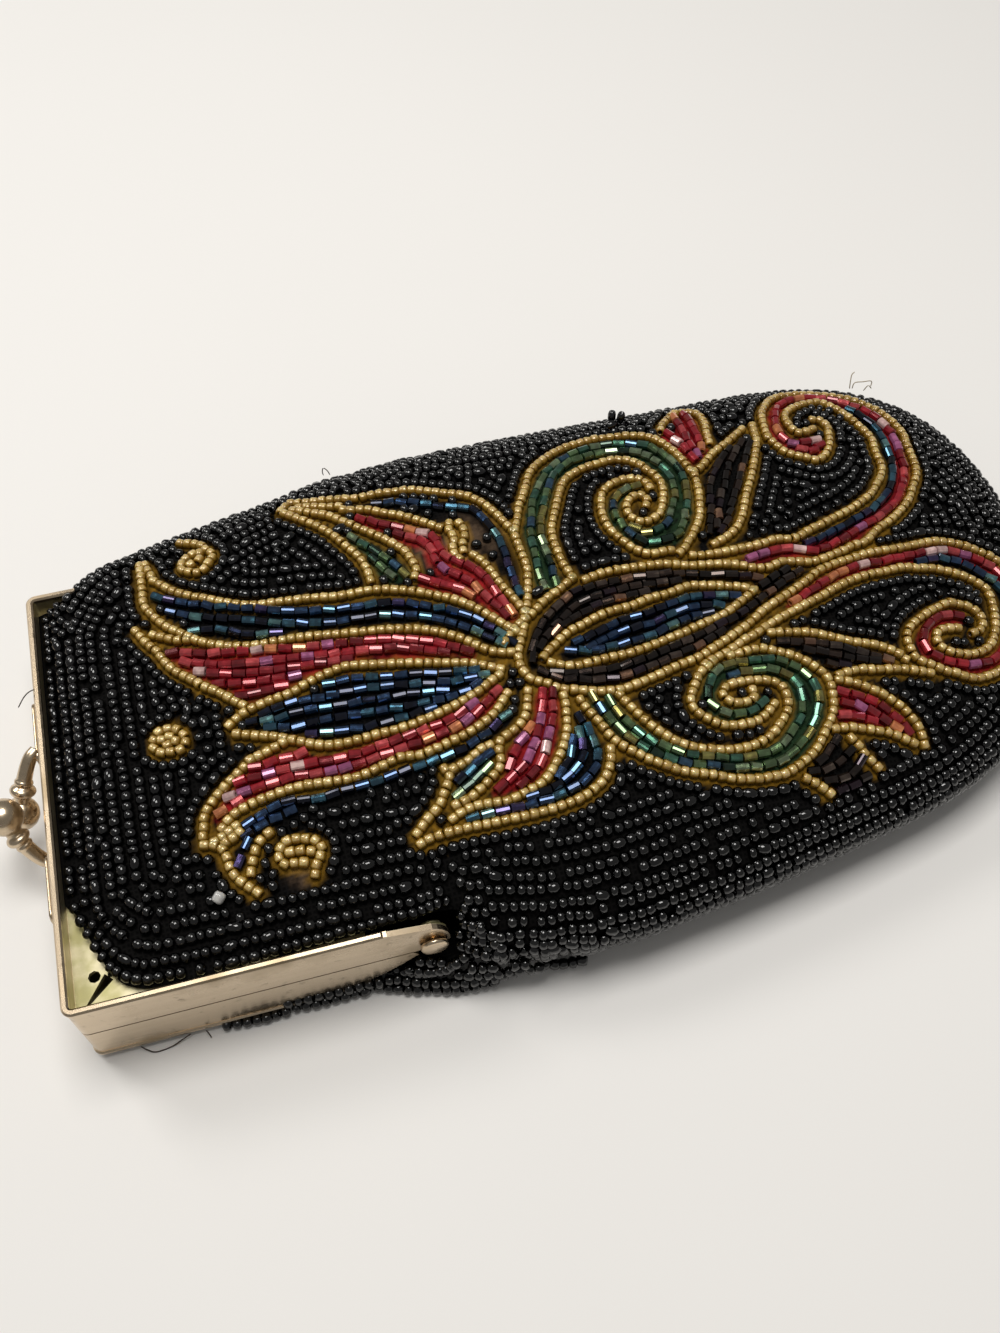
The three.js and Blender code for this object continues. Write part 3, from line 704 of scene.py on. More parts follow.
GOLD_CHART = {
    "left_petal_low": "19.9,38.3 19.9,33 19.8,29 20.6,26.8 22.6,23.5 25.4,20.6 28.5,17.9 32.7,15.8 37,14.7"
    " 42,14.4 47,13.7 52,12.8 57,12 61,11.1 64.5,10 67.5,8.4 70.2,6.5 72,4.8 74.5,3 77,2.3",
    "left_petal_top": "22,33.6 25.4,29.8 29.7,27 33,25 37,23.1 42,22.2 47,21.5 52,20.5 57,20.3 60.5,19.5"
    " 64,18.2 67.5,16.4 70.9,14.4 73.2,12.4 75.2,10.3 77,8.1 78.8,6",
    "red_petal_edge": "17.9,23.6 18.7,22 19.6,20.2 20.8,18.6 21.4,17 22.3,15.2 23.4,13.6 25.5,11.5 27.5,9.4"
    " 29.4,7.8 31.4,5.8 33,4.2",
    "red_petal_tip": "20.6,22 22.4,20.8 24.4,19.6 26,19.2",
    "almond_top": "30.3,1.3 32,2.3 34,3.2 37.5,3.8 41,4.3 44,5.4 47,6.2 50.5,6.7 54,6 58,5.1 62,4.1 66,3"
    " 69.5,2.1 72,1 74.5,-0.4",
    "almond_low": "31.2,-0.6 34,-1.7 37.5,-3 40.5,-4.6 43.5,-6.1 47,-6.8 52,-6.7 57,-6.6 61,-6.1 65,-5.2"
    " 69,-3.9 72,-2.4 74,-1.4",
    "upper_petal_top": "45.7,44 47.3,46 49.2,45.2 53.9,43.8 57.1,42.9 60,42.5 63,42.5 66,42 69,41.5 72.5,39.8"
    " 76.5,37.8 78.4,36.8 80.5,34.3 81.4,32.5 82.2,30.8 83,28.6 83.9,26.4",
    "upper_petal_edge": "46.2,43 47.8,41 49.6,39.1 51.1,37.4 52.5,35.6 53.6,33.9 54.6,32 55.5,30.2 56.5,28.5"
    " 57.3,26.5 57.7,24.5 57.8,22.2",
    "upper_petal_inner": "47.8,43.3 49.6,42 51.7,40.6 54,38.9 55.4,37.2 56.9,35.8 58.7,34 60.4,32.2 62.1,30.4"
    " 63.6,28.6 64.8,26.8 65.4,24.7 65.8,22.6 65.2,21",
    "upper_petal_middle": "56.3,39.8 58,39.3 60,39 61.4,38.2 63.1,36.9 65,35.9 66.6,34.8 68.5,33.3 70.2,31.9"
    " 71.8,30.5",
    "upper_petal_stem": "76,22.9 77.2,21 78,18.8 78.8,15.9 79.8,13.5 80.6,11.4 81.3,9.4",
    "loose_curl": "73.6,31 73.2,29.2 73.7,27.5 73,25.8 72.8,24.2 73.4,22.7",
    "loose_curl_back": "75.3,30.6 75.7,29 75.5,27.4 74.8,25.9 74.5,24.3",
    "stem_left": "83.9,26.4 84,23.3 84.1,20 84.1,18 83.6,15.7 82.9,13.2 82.2,11 81.5,9.2",
    "heart_top": "76.5,4.4 78.8,6.6 81.5,8.2 83.2,9.3 85,10.7 87.4,12 89.2,13 91,14.1",
    "heart_spine": "81.2,9.3 80.3,6.3 79,3.8 78.2,1.9 77.8,0.2 78,-1.6 78.8,-3.3 80,-4.1 81.4,-4.9 83,-6.2"
    " 85.4,-7 88.2,-7.9 90.2,-8.3 92.1,-8.6 95.2,-8.2 97.5,-7.7 100.2,-7.1 102.5,-6.5 105.2,-6 107.7,-5.4"
    " 109.6,-4.6 112,-3.6 114.6,-2.5 116.9,-1.5 118.8,-0.4 120.6,0.7 122.7,1.7 125,2.6 127.8,3.8 130.4,5"
    " 132.8,6.3 135,7 137.4,7.5 140,7.9 142.7,8.3 145.2,8.5 148,8.5 150.5,8.6 153,8.8 155.8,9.1 158.2,8.9"
    " 160.5,8.3 162.9,7.3 164.8,6.1 167,4.6 168.8,2.2 169.7,-1 169.2,-5 167.2,-9.3 164,-13.4 160.2,-16.4"
    " 156.8,-17.8 154.8,-18.2 152.8,-18.3 150.8,-17.6 149.4,-16.8 147.8,-16.2 146.3,-15.2 145,-14.2"
    " 143.6,-13.3 143.2,-11.5 143.4,-9.3 144.4,-7.7 146.1,-6.5 148,-5.6 150,-4.8 152.1,-4.2 153.9,-3.8"
    " 155.8,-4.3 157.8,-5.3 158.8,-7.4 158,-9.4 156,-10.1",
    "heart_outer": "93.1,13.3 95.5,13.9 98,14.1 101,14 104,13.8 107,13.5 109.5,12.8 111.8,12.1 115.2,11.7"
    " 117.8,11.2 120.2,10.5 122.5,9.4 125.2,9 127.5,9.7 130,9.2 132,8.7 134.5,8.7 136.7,9.2 139.2,9.7"
    " 141.5,10.5 144,10.8 145.4,11.6 146.7,12.6 148.5,13.6 150.5,14.5 152.7,15.8 154.7,17.2 156,18.3"
    " 157.3,19.6 158.5,21.3 159.8,22.9 161.2,25.1 161.9,27.4 162.3,29.7 162.6,32.3 163.3,34.7 163.2,37.2"
    " 162.8,39.5 161.9,41.7 160.9,43.5 159.2,45.8 157,47.6 154,49.2 150.6,50.2 147.5,50.8 144.6,50.8"
    " 142.8,50.3 140.9,49 139.4,47.2 138,45.2 137.3,43.2 136.7,40.6 136.3,38.3 136.9,36.3 138,33.7"
    " 139.8,32.3 141.4,31.4 142.8,30.5 144.4,31 146.1,32.5 147.3,34.4 148,36.4 148.8,38.7 148.2,40.8"
    " 146.7,41.2",
    "scroll_inner": "112.8,14.2 115,13.8 118,13.7 121,13.8 124.3,13.9 126.4,14.1 128.3,14.5 131.1,14 133,14.3"
    " 135.2,15.2 138,16 140.5,16.9 143,17.7 145.5,18.7 148,20 150.2,21.3 151.7,22.9 153.2,24.4 154.4,26.1"
    " 155,27.9 155.1,29.8 155.5,31.9 156,33.9 155.8,36 155.3,37.8 154.7,39.8 153.9,42 152.7,44.3 151.6,45.9"
    " 150.4,46.7 148.8,46.7 146.7,46.4 145.1,45.8 143.5,45 142.2,43.7 141.6,41.9 141.7,40.1 142.3,38.3"
    " 144,38.1 145.5,38.5",
    "upper_leaf_left": "119.6,32.6 121.3,33.4 123.1,35 125,36.6 126.7,37.6 128.7,38.8 130.5,40.1 132.3,41.4",
    "upper_leaf_right": "134.8,42 134.3,39.9 133.8,37.6 132.8,35.4 131.7,33.3 130.6,31.2 129.3,28.9 128,26.9"
    " 126.7,24.8 125.6,22.7 124.6,20.9 123.4,19.3 122.3,18.1 120.5,17 119,16.3 117.4,15.7",
    "bud_right": "125.1,39.3 125.6,42.1 126.3,44.6 126.5,46.8 126.4,48.8 125,50.4 122.6,50.9",
    "bud_left": "117.8,45.5 118.6,47 120.2,48.8 121.6,50.2",
    "green_scroll_outer": "84.3,26.6 85.6,29.5 86.4,31.8 87.6,33.7 88.4,35.3 89.3,37.1 90,38.7 91,40.2"
    " 92.6,41.8 94.4,43.1 96.2,44.1 98.2,45.1 100.4,45.7 103,46.2 105,46.4 107.3,46.1 110.4,45.8 112.6,45.2"
    " 114.4,44.4 115.7,43 116.8,41.3 117.5,39.6 118.1,37.8 118.6,35.6 119,33.4 119.4,31.4 119,29.3"
    " 118.6,27.1 118,25.3 117.3,23 116.2,20.9 115,19.4 114.3,18.4 113.2,17.4 112.2,16.2 110.8,15.2",
    "green_scroll_inner": "91,14.3 90.7,15.9 90.3,17.6 90.2,20 90.2,22.7 90.5,25 91.3,27 92.3,29.1 93.2,31"
    " 94.2,33 95,34.5 96.1,36.1 97.7,37.3 99.4,38.1 101.3,38.6 103.1,38.9 105.1,39.3 107.2,39.1 108.9,38.4"
    " 110.4,36.9 111.3,35.2 112.3,33.5 112.8,31.4 112.6,29.6 112,27.7 111.2,26 110.4,24.5 108.4,23.3"
    " 106.5,23.2 105,24.6 104.8,26.8 106,28.7 107.9,29.4 109,28.1 108.4,26.6",
    "green_scroll_tail": "109.4,16 108,16.1 106.1,16 104.2,16.9 102.8,18.4 101.4,20.8 100.5,22.8 100.2,25"
    " 100.3,27 100.8,29.1 101.7,31.2 103.2,32.7 105.2,33.5 107.1,33.7 108.8,33.3 110.1,32 110.4,30.5",
    "right_almond_top": "82,0.2 83.2,1.2 84.6,2.1 86.2,3.2 87.9,4.1 89.9,4.6 91.9,5.4 93.8,5.9 96.3,6.3"
    " 98.8,6.4 100.6,6.8 103,7.3 105.3,7.4 107.5,7.8 110,8.2 112.3,7.8 114.5,7.3 116.6,6.7 118.8,6.1"
    " 120.6,5",
    "right_almond_low": "82.9,-1.2 84.6,-2.1 86.5,-2.7 89.6,-2.6 92.4,-2.4 95.5,-2.4 97.9,-2.1 100.5,-1.7"
    " 103.1,-1.1 106,-0.6 108,0 110.5,0.6 112.7,1.1 115.1,1.9 117.1,3 119,4 120.4,4.8",
    "scroll_under": "107.5,-7.2 109.4,-6.4 111.6,-5.8 113.6,-5 115.7,-4 117.8,-3.4 119.8,-2.5 122,-1.6"
    " 124.2,-0.9 126.6,-0.1 129.5,0.8 131.9,1.5 134.3,2.4 136.8,3.2 139.4,3.8 142,4.1 144.6,4.2"
    " 147.1,4.4 149,4.5"
    " 151.1,4 153.7,3.6 156.2,2.7 158.2,1.8 160.2,0.6 161.6,-0.8 162.6,-2.1 162.5,-4 162.1,-5.9 161.3,-8.2"
    " 160.2,-10.4 158.9,-12 157.7,-13 155.8,-13.7 153.7,-13.9 151.7,-13.5 150.1,-12.9 148.7,-11.5 148.7,-10"
    " 149.8,-8.8 151.5,-8.6 153.4,-8.8",
    "lower_leaf_top": "120.5,-3.7 122.5,-4 124.5,-4.4 126.8,-4.9 129.2,-5.9 131.5,-7.1 134.1,-8.3 136.5,-9.1"
    " 138.6,-10.1 140.4,-11.4 141.6,-13",
    "lower_leaf_low": "129,-13.6 131.1,-13.3 133.2,-13.3 135.5,-13.8 138,-14.2 140.2,-14.6 142.5,-15.3"
    " 144.8,-16.1",
    "low_scroll_outer": "85.5,-8.9 86,-10.5 86.7,-12 87.5,-13.7 88.2,-15.7 89,-17.2 90.2,-18.5 91.8,-19.9"
    " 93.5,-21.4 95.5,-22.7 97.1,-23.8 99.1,-24.7 101,-25.3 103,-26 105,-26.9 107.1,-27.5 109.4,-27.9"
    " 111.7,-28 114,-28 116,-27.4 117.9,-26.6 119.8,-25.6 121.3,-24.4 122.5,-23.1 123.8,-21.7 125.2,-20.1"
    " 126.2,-18.1 126.7,-16.1 126.9,-14.3 126.3,-12.4 125.2,-11 124.1,-9.8 122.6,-8.6 120.9,-7.7 119.4,-6.9"
    " 117.9,-6.2 116.1,-6.1 114.2,-6.3 112.2,-6.4",
    "low_scroll_tail": "109,-6.9 106.4,-8.3 105.3,-9.4 104.3,-10.8 103.2,-12.4 102.9,-13.9 103.6,-15.4"
    " 104.6,-16.5 105.7,-17.5 107.1,-18.3 109,-18.7 111,-18.8 113,-18.5 115,-17.4 116.3,-16.4",
    "low_scroll_inner": "92,-9.4 92.7,-11 93.4,-12.4 94.1,-13.8 95,-15.3 96.1,-16.8 97.3,-18.2 98.7,-19.5"
    " 100.3,-20.5 102,-21.3 104,-21.9 106.1,-22.4 108.1,-22.6 110.4,-22.5 112.6,-22 114.3,-21.2 115.8,-20"
    " 117.4,-18.7 118.3,-17.5 118.8,-15.8 118.8,-14 118,-12.8 116.5,-12.1 114.9,-11.7 113,-11.5 111,-11.5"
    " 109.2,-12 108.5,-13 109.5,-14.6 111.5,-15.1 113.4,-14.6 113.6,-13.3",
    "low_petal_tip": "55,-24 57,-22.3 59.3,-20.6 60.8,-18.5 61.9,-16.8 61.5,-15.3",
    "low_petal_notch": "62.8,-15.6 65.5,-14.8 67.8,-13.5 69.3,-13.2",
    "low_petal_edge": "55.2,-25.7 57.5,-25.1 60.2,-25.2 63.2,-25.3 66.3,-25.5 69.5,-25.6 72.9,-25.7 76,-25.6"
    " 78.8,-25.3 81.4,-24.8 83.7,-23.8 85.3,-22.8 86.4,-21.5 87.2,-20 87.7,-18.3",
    "low_petal_middle": "60.8,-23.3 62.7,-22.6 65,-22.3 67.5,-22.5 69.8,-22.7 72.1,-22.2 74.5,-21.6 76,-21"
    " 77.5,-19.8 79,-18.1 80.2,-16.6 81.2,-15 82.1,-12.9 82.6,-10.8 83,-9.1 83.1,-7.6",
    "low_petal_left": "61.8,-21.4 64.5,-20.7 66.6,-19.5 68.5,-18.3 70,-17 70.5,-15.3 70.6,-13.7 71.4,-12.6"
    " 72.9,-11.9 74.5,-11.1 75.8,-10 76.6,-8.7 77.2,-7 77.7,-5.4",
    "long_petal_top": "23.3,-16 23.8,-14.1 24.1,-12.7 25.2,-11.3 27,-9.7 28.9,-8.2 30.9,-6.9 32.5,-5.7"
    " 34.1,-5.3 36,-4.8 38,-4.1",
    "long_petal_low": "26.4,-15.6 28.2,-14 31,-13 34.5,-12.4 39,-12.1 44,-12.6 48,-12.9 51.5,-12.3 55.3,-11.4"
    " 58.5,-11.9 62.3,-11.3 66,-10.4 69,-9.3 71.7,-7.7 74.4,-5",
    "long_petal_tail": "23.3,-17.4 25.3,-18.1 26.2,-19.7 26.4,-21.5 26.9,-23.2 28,-24.7 29.8,-26.6",
    "long_petal_hook": "24.9,-17.3 26.6,-16.7 28.5,-15.8",
    "long_petal_fork": "33.1,-18.2 31.7,-19 30.6,-20.4 30,-21.8 29.4,-23.4",
    "red_leaf_top": "128.6,-14.4 130.4,-15.1 132.1,-16 133.4,-17 134.8,-18 135.9,-19.2 137.1,-20.5 138,-22"
    " 138.6,-23.6 139.1,-25.2 138.9,-27.8",
    "red_leaf_low": "124.8,-22.5 127.3,-22.7 129.7,-23.4 131.7,-24.1 133.7,-24.8 135.5,-26 137.2,-27.2",
    "fan_left": "117.2,-29.4 118.9,-30.8 120.4,-32.4",
    "fan_right": "126.9,-24.6 127.6,-25.8 128.4,-27.8 129.7,-29.9",
    "dot_left": "18.2,2.2 19.4,3.5 21.2,3.4 22.6,2.4 23.2,0.8 22.4,-0.6 20.7,-0.6 19.1,-0.3 18,0.8",
    "dot_left_middle": "19.4,1.9 20.7,2.1 21.6,1.1 20.2,0.7",
    "curl_far": "27.4,42.2 29.1,41.2 30.7,40 31.6,38.3 32.6,36.5 31.6,34.7 30.2,33.1 28.5,33.5 27,34.7"
    " 27.4,36.7 29.2,37.9",
    "curl_far_middle": "28.6,35.4 30.2,36.2 30.4,37.8",
    "curl_near": "38.7,-26.2 39.3,-24.5 40.5,-22.9 39.9,-21.3 38.3,-20.5 36.6,-20.1 35.1,-20.3 34,-21.7"
    " 34.2,-23.3 35.8,-23.7 37.4,-24",
    "curl_near_middle": "35.7,-21.9 37.3,-22.1 38.8,-22.6",
    "petal_tip_left": "20.9,38.1 21.3,36.3 21.7,34.9",
    "petal_tip_top": "48.9,43.6 50.6,43 52.3,42.3 54,41.6 55.8,41.1",
    "petal_tip_near": "26.5,-17.9 27.7,-17.5 28.9,-16.9",
}
GOLD_PITCH = 1.48
gold_lines = {name: smooth_line(chart(text), GOLD_PITCH) for name, text in GOLD_CHART.items()}
print("gold strings:", len(gold_lines), "places:", sum(map(len, gold_lines.values())))


# %% [markdown]
# ## Sewing a string onto the front
# A charted place is a plan position. It becomes a place on the panel by dividing its distance from
# the panel's middle line by the half width there, and the string's direction is the difference of
# two places close together on it. That gives each bead a centre, a thread direction and an up.


# %% From plan places to bead places
def on_front(plan):
    """Plan x, y to the panel's x, s: s is the offset from the middle over the half width."""
    x = np.clip(plan[:, 0], POUCH_START + 0.05, POUCH_END - 0.3)
    near, far = across(FRONT_SECTIONS, x, -0.8), across(FRONT_SECTIONS, x, 0.8)
    return x, np.clip((plan[:, 1] - (near + far) / 2) / ((far - near) / 1.6), -0.995, 0.995)


def heading(points):
    """The direction along a line of points: half the step from the one before to the one after."""
    return unit(np.gradient(points, axis=0)) if len(points) > 1 else np.eye(points.shape[1])[:1]


def sew_front(plan_lines):
    """Strings of plan places to bead centres, thread directions and ups."""
    plan = np.concatenate(plan_lines)[:, :2]
    way = np.concatenate([heading(line[:, :2]) for line in plan_lines]) * 0.3
    points, up = front.lift(*on_front(plan))
    along = front.face(*on_front(plan + way)) - front.face(*on_front(plan - way))
    return points, unit(along), up


GOLD_SIZE = (1.54, 1.78)
gold_work = sew_front(list(gold_lines.values()))
string_beads("gold_beads", BARREL_BEAD, gold_work, GOLD_SIZE, gold, spread=0.06, tilt=0.1)

# %% [markdown]
# ## The chart: rows of tubes
# Inside the outlines the petals are filled with rows of six-sided tubes: iris blue, ruby red, teal
# green and bronze. Each row is charted like the outlines. The colour of each tube is picked from a
# short list for its glass, because a hank of such beads is always mixed.

# %% Rows of tubes by colour
TUBE_CHART = {
    "blue": [
        "22.3,29.6 24.5,28.2 28.8,25.8 33.4,23.8 38.3,21.8 42.7,20 47,18.8 53.5,17.6 59,17 62,16.2 65,14.9"
        " 68.5,13.2 72,10.9 74,9 76.5,6 77.8,4.3",
        "24.2,25.6 28.8,23 33.5,21.3 38.3,19.1 41.2,17.9 45.6,16.6 50,15.6 55.7,15 60.5,14.2 63.8,13"
        " 66.6,11.7 69.6,9.7 72,8.1 74,6.2 76,4.4",
        "27.4,20.6 31.8,19.4 36.4,17 40.6,16.1",
        "47,4.2 51,4.2 56,3.1 61,2.2 66,1.2 70.4,0.4",
        "36.2,1.8 40.4,2.4 45.6,2 52,1.9 58,0.9 63,-0.2 68,-0.8 71.6,-0.8",
        "34,0.8 37.5,0.2 42,0.5 47,-0.1 53,-0.5 58.5,-1.1 64.5,-2",
        "36.6,-1 40.4,-2 45,-2 50,-2.4 55.5,-2.9 61,-3.3 66.3,-3.3 70,-2.3",
        "42.7,-3.9 47,-4.6 52,-5 57,-4.9 61.8,-4.7",
        "62.4,39.8 65.5,39 69.6,37.6 73.4,35.4 76.4,34.4 78.4,33.4 79.4,31.3 80.1,29 81,26 81.4,22",
        "81.2,19.6 81.3,16.2 81.5,13.4",
        "88.2,1.8 92.3,2.8 97.1,4.1 101,4.4 105.2,5.3 109.8,5.9 114.4,5.2 117,4.6",
        "90,0.2 93,1.2 96.5,2 101.2,2.3 105.2,3.4 109.6,3.9 113.6,3.4",
        "86.6,0.2 90.7,-0.5 95.5,-0.4 100,0 104,1.1 108,2 111.4,2.2",
        "134.1,12.7 137,13.3 141.7,14.9 146.6,16.8 149,17.9 151.5,19.6 153.7,21.5 155.6,24 157.1,27.1"
        " 157.8,30 158.3,33.5 158.3,37.2 157.2,40.6 155.8,43",
        "152.6,5.2 155.7,5.4 158.8,4.7 161.1,3.3 162.8,1.8 164.4,0.4 165.4,-2 165.4,-5 164.2,-8.6",
        "30.4,-15.8 33.1,-14.9 36.2,-14 38.6,-14.3 41.7,-14.8 46,-14.5 50.7,-14.4 55.2,-13.8 60,-13.5"
        " 64,-13 67.3,-11.9 70.2,-10.6 73,-8.8",
        "29.8,-17.5 32.7,-16.6 37,-15.6",
        "28,-21.4 28.6,-20.2 29.6,-18.9",
        "63.8,-24 69.4,-24.1 74.2,-24.2 77.8,-23.7 81,-22.8 83.2,-21.8 84.7,-20.3 85.5,-18.5 85.5,-15"
        " 84.6,-12",
        "73.6,-22.9 76.9,-22.4 79,-21.6 81,-20.5 82.7,-19 83.5,-17 83.7,-14.5",
        "78.8,-20.4 80.4,-18.9 81.6,-17.2 82.2,-15.6",
        "63.4,-17.4 65.4,-16.5 67.2,-15.2 68.7,-14.6",
    ],
    "red": [
        "23.4,17.4 28.8,15.6 34,14.3 39,13.3 43.5,12.2 48,11.6 52,10.9 56,10.3 60,9.3 63.5,8.1 66.5,6.6"
        " 70.2,4.3",
        "25.2,14.9 30.4,12.8 35,11.7 41.2,10.7 46,10 51,9.2 56,8.5 60,7.5 63,6.4 66.4,5",
        "27.2,12.4 31.3,10.7 36,9.6 41.2,8.9 46,8.4 51,7.9",
        "30,9.2 33.5,8.3 37.5,7.6 42,7.2",
        "33,6 36,5.8 39.6,5.9",
        "59,36.6 63.6,33.4 67,31.2 70.2,28.6 71,24.6 73,22.3 75.3,20.2 77,17 78,13.4 79.2,10",
        "64.6,31 67.8,28.6 69.3,26 69.6,22.6 71.8,20 74,17.6 75.5,14.7 77,12 78,9.6",
        "66.7,20 69,18.4 71.2,17.2 73.2,15.2",
        "118.9,43.8 119.4,41.4 120.3,38.6 120.8,36.2",
        "121.8,49 121.8,46 121.6,43.4 121.5,40.2 121.9,36.8",
        "124,49.6 124.1,47.5 123.9,45 123.6,41.4 123.2,38.3",
        "122.8,11.6 125.5,12 128.5,12.2 131,11.9 132.8,11.2 135,10.7 137.3,11.4 139.5,11.8 142,12.8"
        " 144.3,13.9 146.6,14.8 149.2,15.8 151.8,17.4 154,18.8 156,21.1 157.8,23.6 159.2,26.4 159.8,29.1"
        " 160.5,31.6 160.8,34.3 160.9,36.8 160.3,39.5 159.3,41.7 157.8,43.6 156,45.6 153.8,47.1 151,48.2"
        " 148,48.7 145,48.6 142.5,47.1 140.8,45 139.7,42.6 139.1,40.2 139,38 139.9,35.8 142,35.4 144.9,35.6",
        "141.4,33.8 143.4,33 145,34",
        "126.9,1.5 129.2,2.4 131.6,3.4 134,4.5 136,5.1 138.4,5.8 141.5,6.3 146.4,6.4 151.6,6.8 155.4,7"
        " 158.2,6.9 160.6,6.1 162.9,4.9 165,3.5 166.6,1.6 167.4,-1.2 166.9,-5 165,-9 162,-12.4 158.5,-15"
        " 155,-15.8 152.2,-15.6 149,-14.5 147,-12.9 146.1,-10.8 147.1,-8.7 149,-7 151.9,-6.1 154.6,-6.4",
        "26.6,-12.9 29.4,-12",
        "28.4,-10.8 33.5,-10.5 38,-10.3 43,-10.8 48,-10.9 52,-10.5 57.5,-9.9 62,-9.3 65.3,-8.7 68,-7.5"
        " 70.7,-5.8 72.7,-4.3",
        "30.4,-8.7 36,-8.7 41,-8.7 45,-9.1 50,-9 54,-8.5 58,-8.1 62,-7.7 65.6,-6.9 68.4,-5.6",
        "33,-7 37,-6.9 40.4,-6.7",
        "79.8,-6.6 78.8,-9.9 77.3,-12.7 75.7,-15.4 73.8,-17.5 71.5,-19 69.2,-20.2",
        "81.5,-6.8 80.4,-10.6 78.9,-13.6 77.3,-16.6 75.5,-18.7 72.6,-20.6",
        "76.2,-11.8 74.2,-13.7 72.6,-15.6 71.6,-17.2",
        "128.4,-16.6 131.8,-18.3 133.9,-20 135.5,-22 136.9,-24.8",
        "128.4,-18.6 131.3,-20.1 133.2,-22 135.2,-24.2",
        "127.2,-20.5 129.4,-21.2 131.4,-22.3",
    ],
    "green": [
        "86,13.6 85.8,16.2 86.1,18.7 86.3,21.3 86.6,24 87.3,26.8 88.2,29.5 89.1,32.2 90.5,34.8 92.3,37.3"
        " 94,39.6 96.2,41.2 98.7,42.5 101,43.4 104.2,43.9 107.1,43.9 109.3,43.3 111,42.8 113,42 114.6,40.2"
        " 116,37.8 117,35 117.2,32.4 116.9,29.5 116.2,26.7 115,23.8 113.6,21.5 112.2,19.4 109.6,18.6 107,18.5"
        " 104.9,19.5 103.1,22.8 102.4,26.2 103.3,29.1 105.6,31 108,31.6",
        "88.1,13.8 88.2,17.2 88.3,20 88.4,23.6 89,26.8 90.2,29.5 91.3,32.3 92.8,34.9 94.3,37.5 96.3,39.4"
        " 98.3,40.6 100.3,41.3 102.5,41.5 105,41.7 107.2,41.6 109,41.1 111.2,40.1 113.2,38.1 114.2,35.7"
        " 114.8,33 114.7,30 114,27.2 112.4,24.7 110.9,22.1 108.6,21 106.5,20.6 104.9,22.2",
        "56.8,32.3 58.2,30.5 59.6,28.7 61,26.6 62.6,24.2 63.7,22",
        "59.3,26.4 60.2,24.4 61.4,22.4",
        "62.6,-19.8 65.6,-18.2 68,-16.8",
        "87.7,-8.9 88.5,-11.6 89.4,-13.6 90.6,-15.8 92.2,-18.2 93.9,-19.9 95.6,-21.2 98,-22.6 100.4,-23.7"
        " 102.5,-24.2 104.6,-25 106.7,-25.6 109,-25.9 111.5,-26 114.4,-25.8 116.2,-25 118.2,-23.7 120,-22.6"
        " 121.2,-21.3 122.5,-19.6 123.5,-18 124.3,-16.1 124.2,-14.2 123.7,-12.6 122.5,-11 121.2,-9.6"
        " 119,-8.7 117,-8.1 114.8,-8.1 112.6,-8 110.6,-8.2 108.6,-8.9 107.6,-10 106.6,-11.4 106.1,-13"
        " 106.6,-15 108,-16.2 110.4,-16.9 112.6,-16.7 114.4,-15.8",
        "90.2,-10.2 90.9,-12.4 91.7,-14.1 92.8,-16 94,-17.7 95.7,-19.1 97.3,-20.3 99.2,-21.4 101.4,-22.4"
        " 103.6,-23 106.1,-23.8 108.7,-24.2 111,-24.2 113.4,-23.9 115.7,-23 117.3,-21.6 119.2,-20.2"
        " 120.4,-18.4 121.1,-16.7 121.5,-14.5 121.1,-12.8 119.8,-11.4 117.8,-10.2 115.6,-9.9 113.4,-9.8"
        " 111.4,-10",
    ],
    "brown": [
        "80.2,0.2 80.8,2.4 81.8,4.2 83.2,6 84.6,7.4 86.4,8.8 88.7,10.3 90.9,11.4 93.4,11.6 98,11.9 104.2,11.7"
        " 107,11.4 109.6,10.8 113.2,9.9 115.6,9.5 117.8,8.9 120,8.2 122.3,7.4",
        "82.2,2.4 84.2,4.4 86.3,6 88.5,7.5 90.6,8.9 93,9.4 95.2,9.9 98.4,10.1 101.3,10.1 104.6,9.9 108,9.6",
        "85.2,4.5 87.4,5.7 90.6,6.8 93.2,7.8 96.2,8.3 99,8.5 102,8.6",
        "81.2,-2.5 82.8,-3.9 85.3,-4.9 87.5,-5.6 89.3,-6 91.7,-6.3 94,-6.2 96.4,-5.9 98.4,-5.6 100.6,-5.2"
        " 102.9,-4.6 105,-4 107.4,-3.6 109.6,-2.8 112,-1.9",
        "83.2,-3.2 86.4,-4.1 89.7,-4.3 92.4,-4.5 97.7,-4 100.1,-3.6 102.2,-3 104.2,-2.6 106.3,-2.1 108.6,-1.5"
        " 111,-0.9 113,-0.2 115.2,0.4 117.1,1.1 119,2 121.4,3.2 123.6,4.2 125.7,5.3 127.8,6.3 129.6,7",
        "122.8,5.9 125.2,7 127.4,7.7",
        "127.7,36.4 126,34.8 124.2,33 122.7,31 121.3,28.7 120.2,26.2 119.8,23.8 118.7,21.6 117.6,18.6",
        "130.6,37.6 128.7,35.6 126.8,33.2 125.2,30.6 123.7,27.8 121.9,25.4 120.9,22.6 119.3,19.6",
        "132,36.8 130.5,34.4 128.9,32 127.4,29.5 126,27.2 124.4,25 122.9,22.6 121.6,20.2 119.6,18.2",
        "121.9,-5.7 124.4,-6.3 127.2,-7 129.8,-8 132.6,-9.4 135.2,-10.7 138.4,-12.4",
        "125.6,-8.1 128.6,-9.3 131,-10.5 133.4,-11.4 136,-12.2",
        "128.4,-11.4 130.6,-12",
        "120.6,-27 122.4,-25.8 124.2,-24.5",
        "118.8,-28.5 121,-28.6 123.5,-28 125.7,-26.7",
        "121,-30.4 123.3,-30.5 125.6,-29.8 127.2,-28.4",
        "122.4,-32.2 124.8,-31.9 127,-31",
    ],
}
TUBE_PITCH = 2.28
tube_lines = {}
for kind, rows in TUBE_CHART.items():
    tube_lines[kind] = [smooth_line(chart(row), TUBE_PITCH) for row in rows]
print("rows of tubes:", {kind: len(lines) for kind, lines in tube_lines.items()})

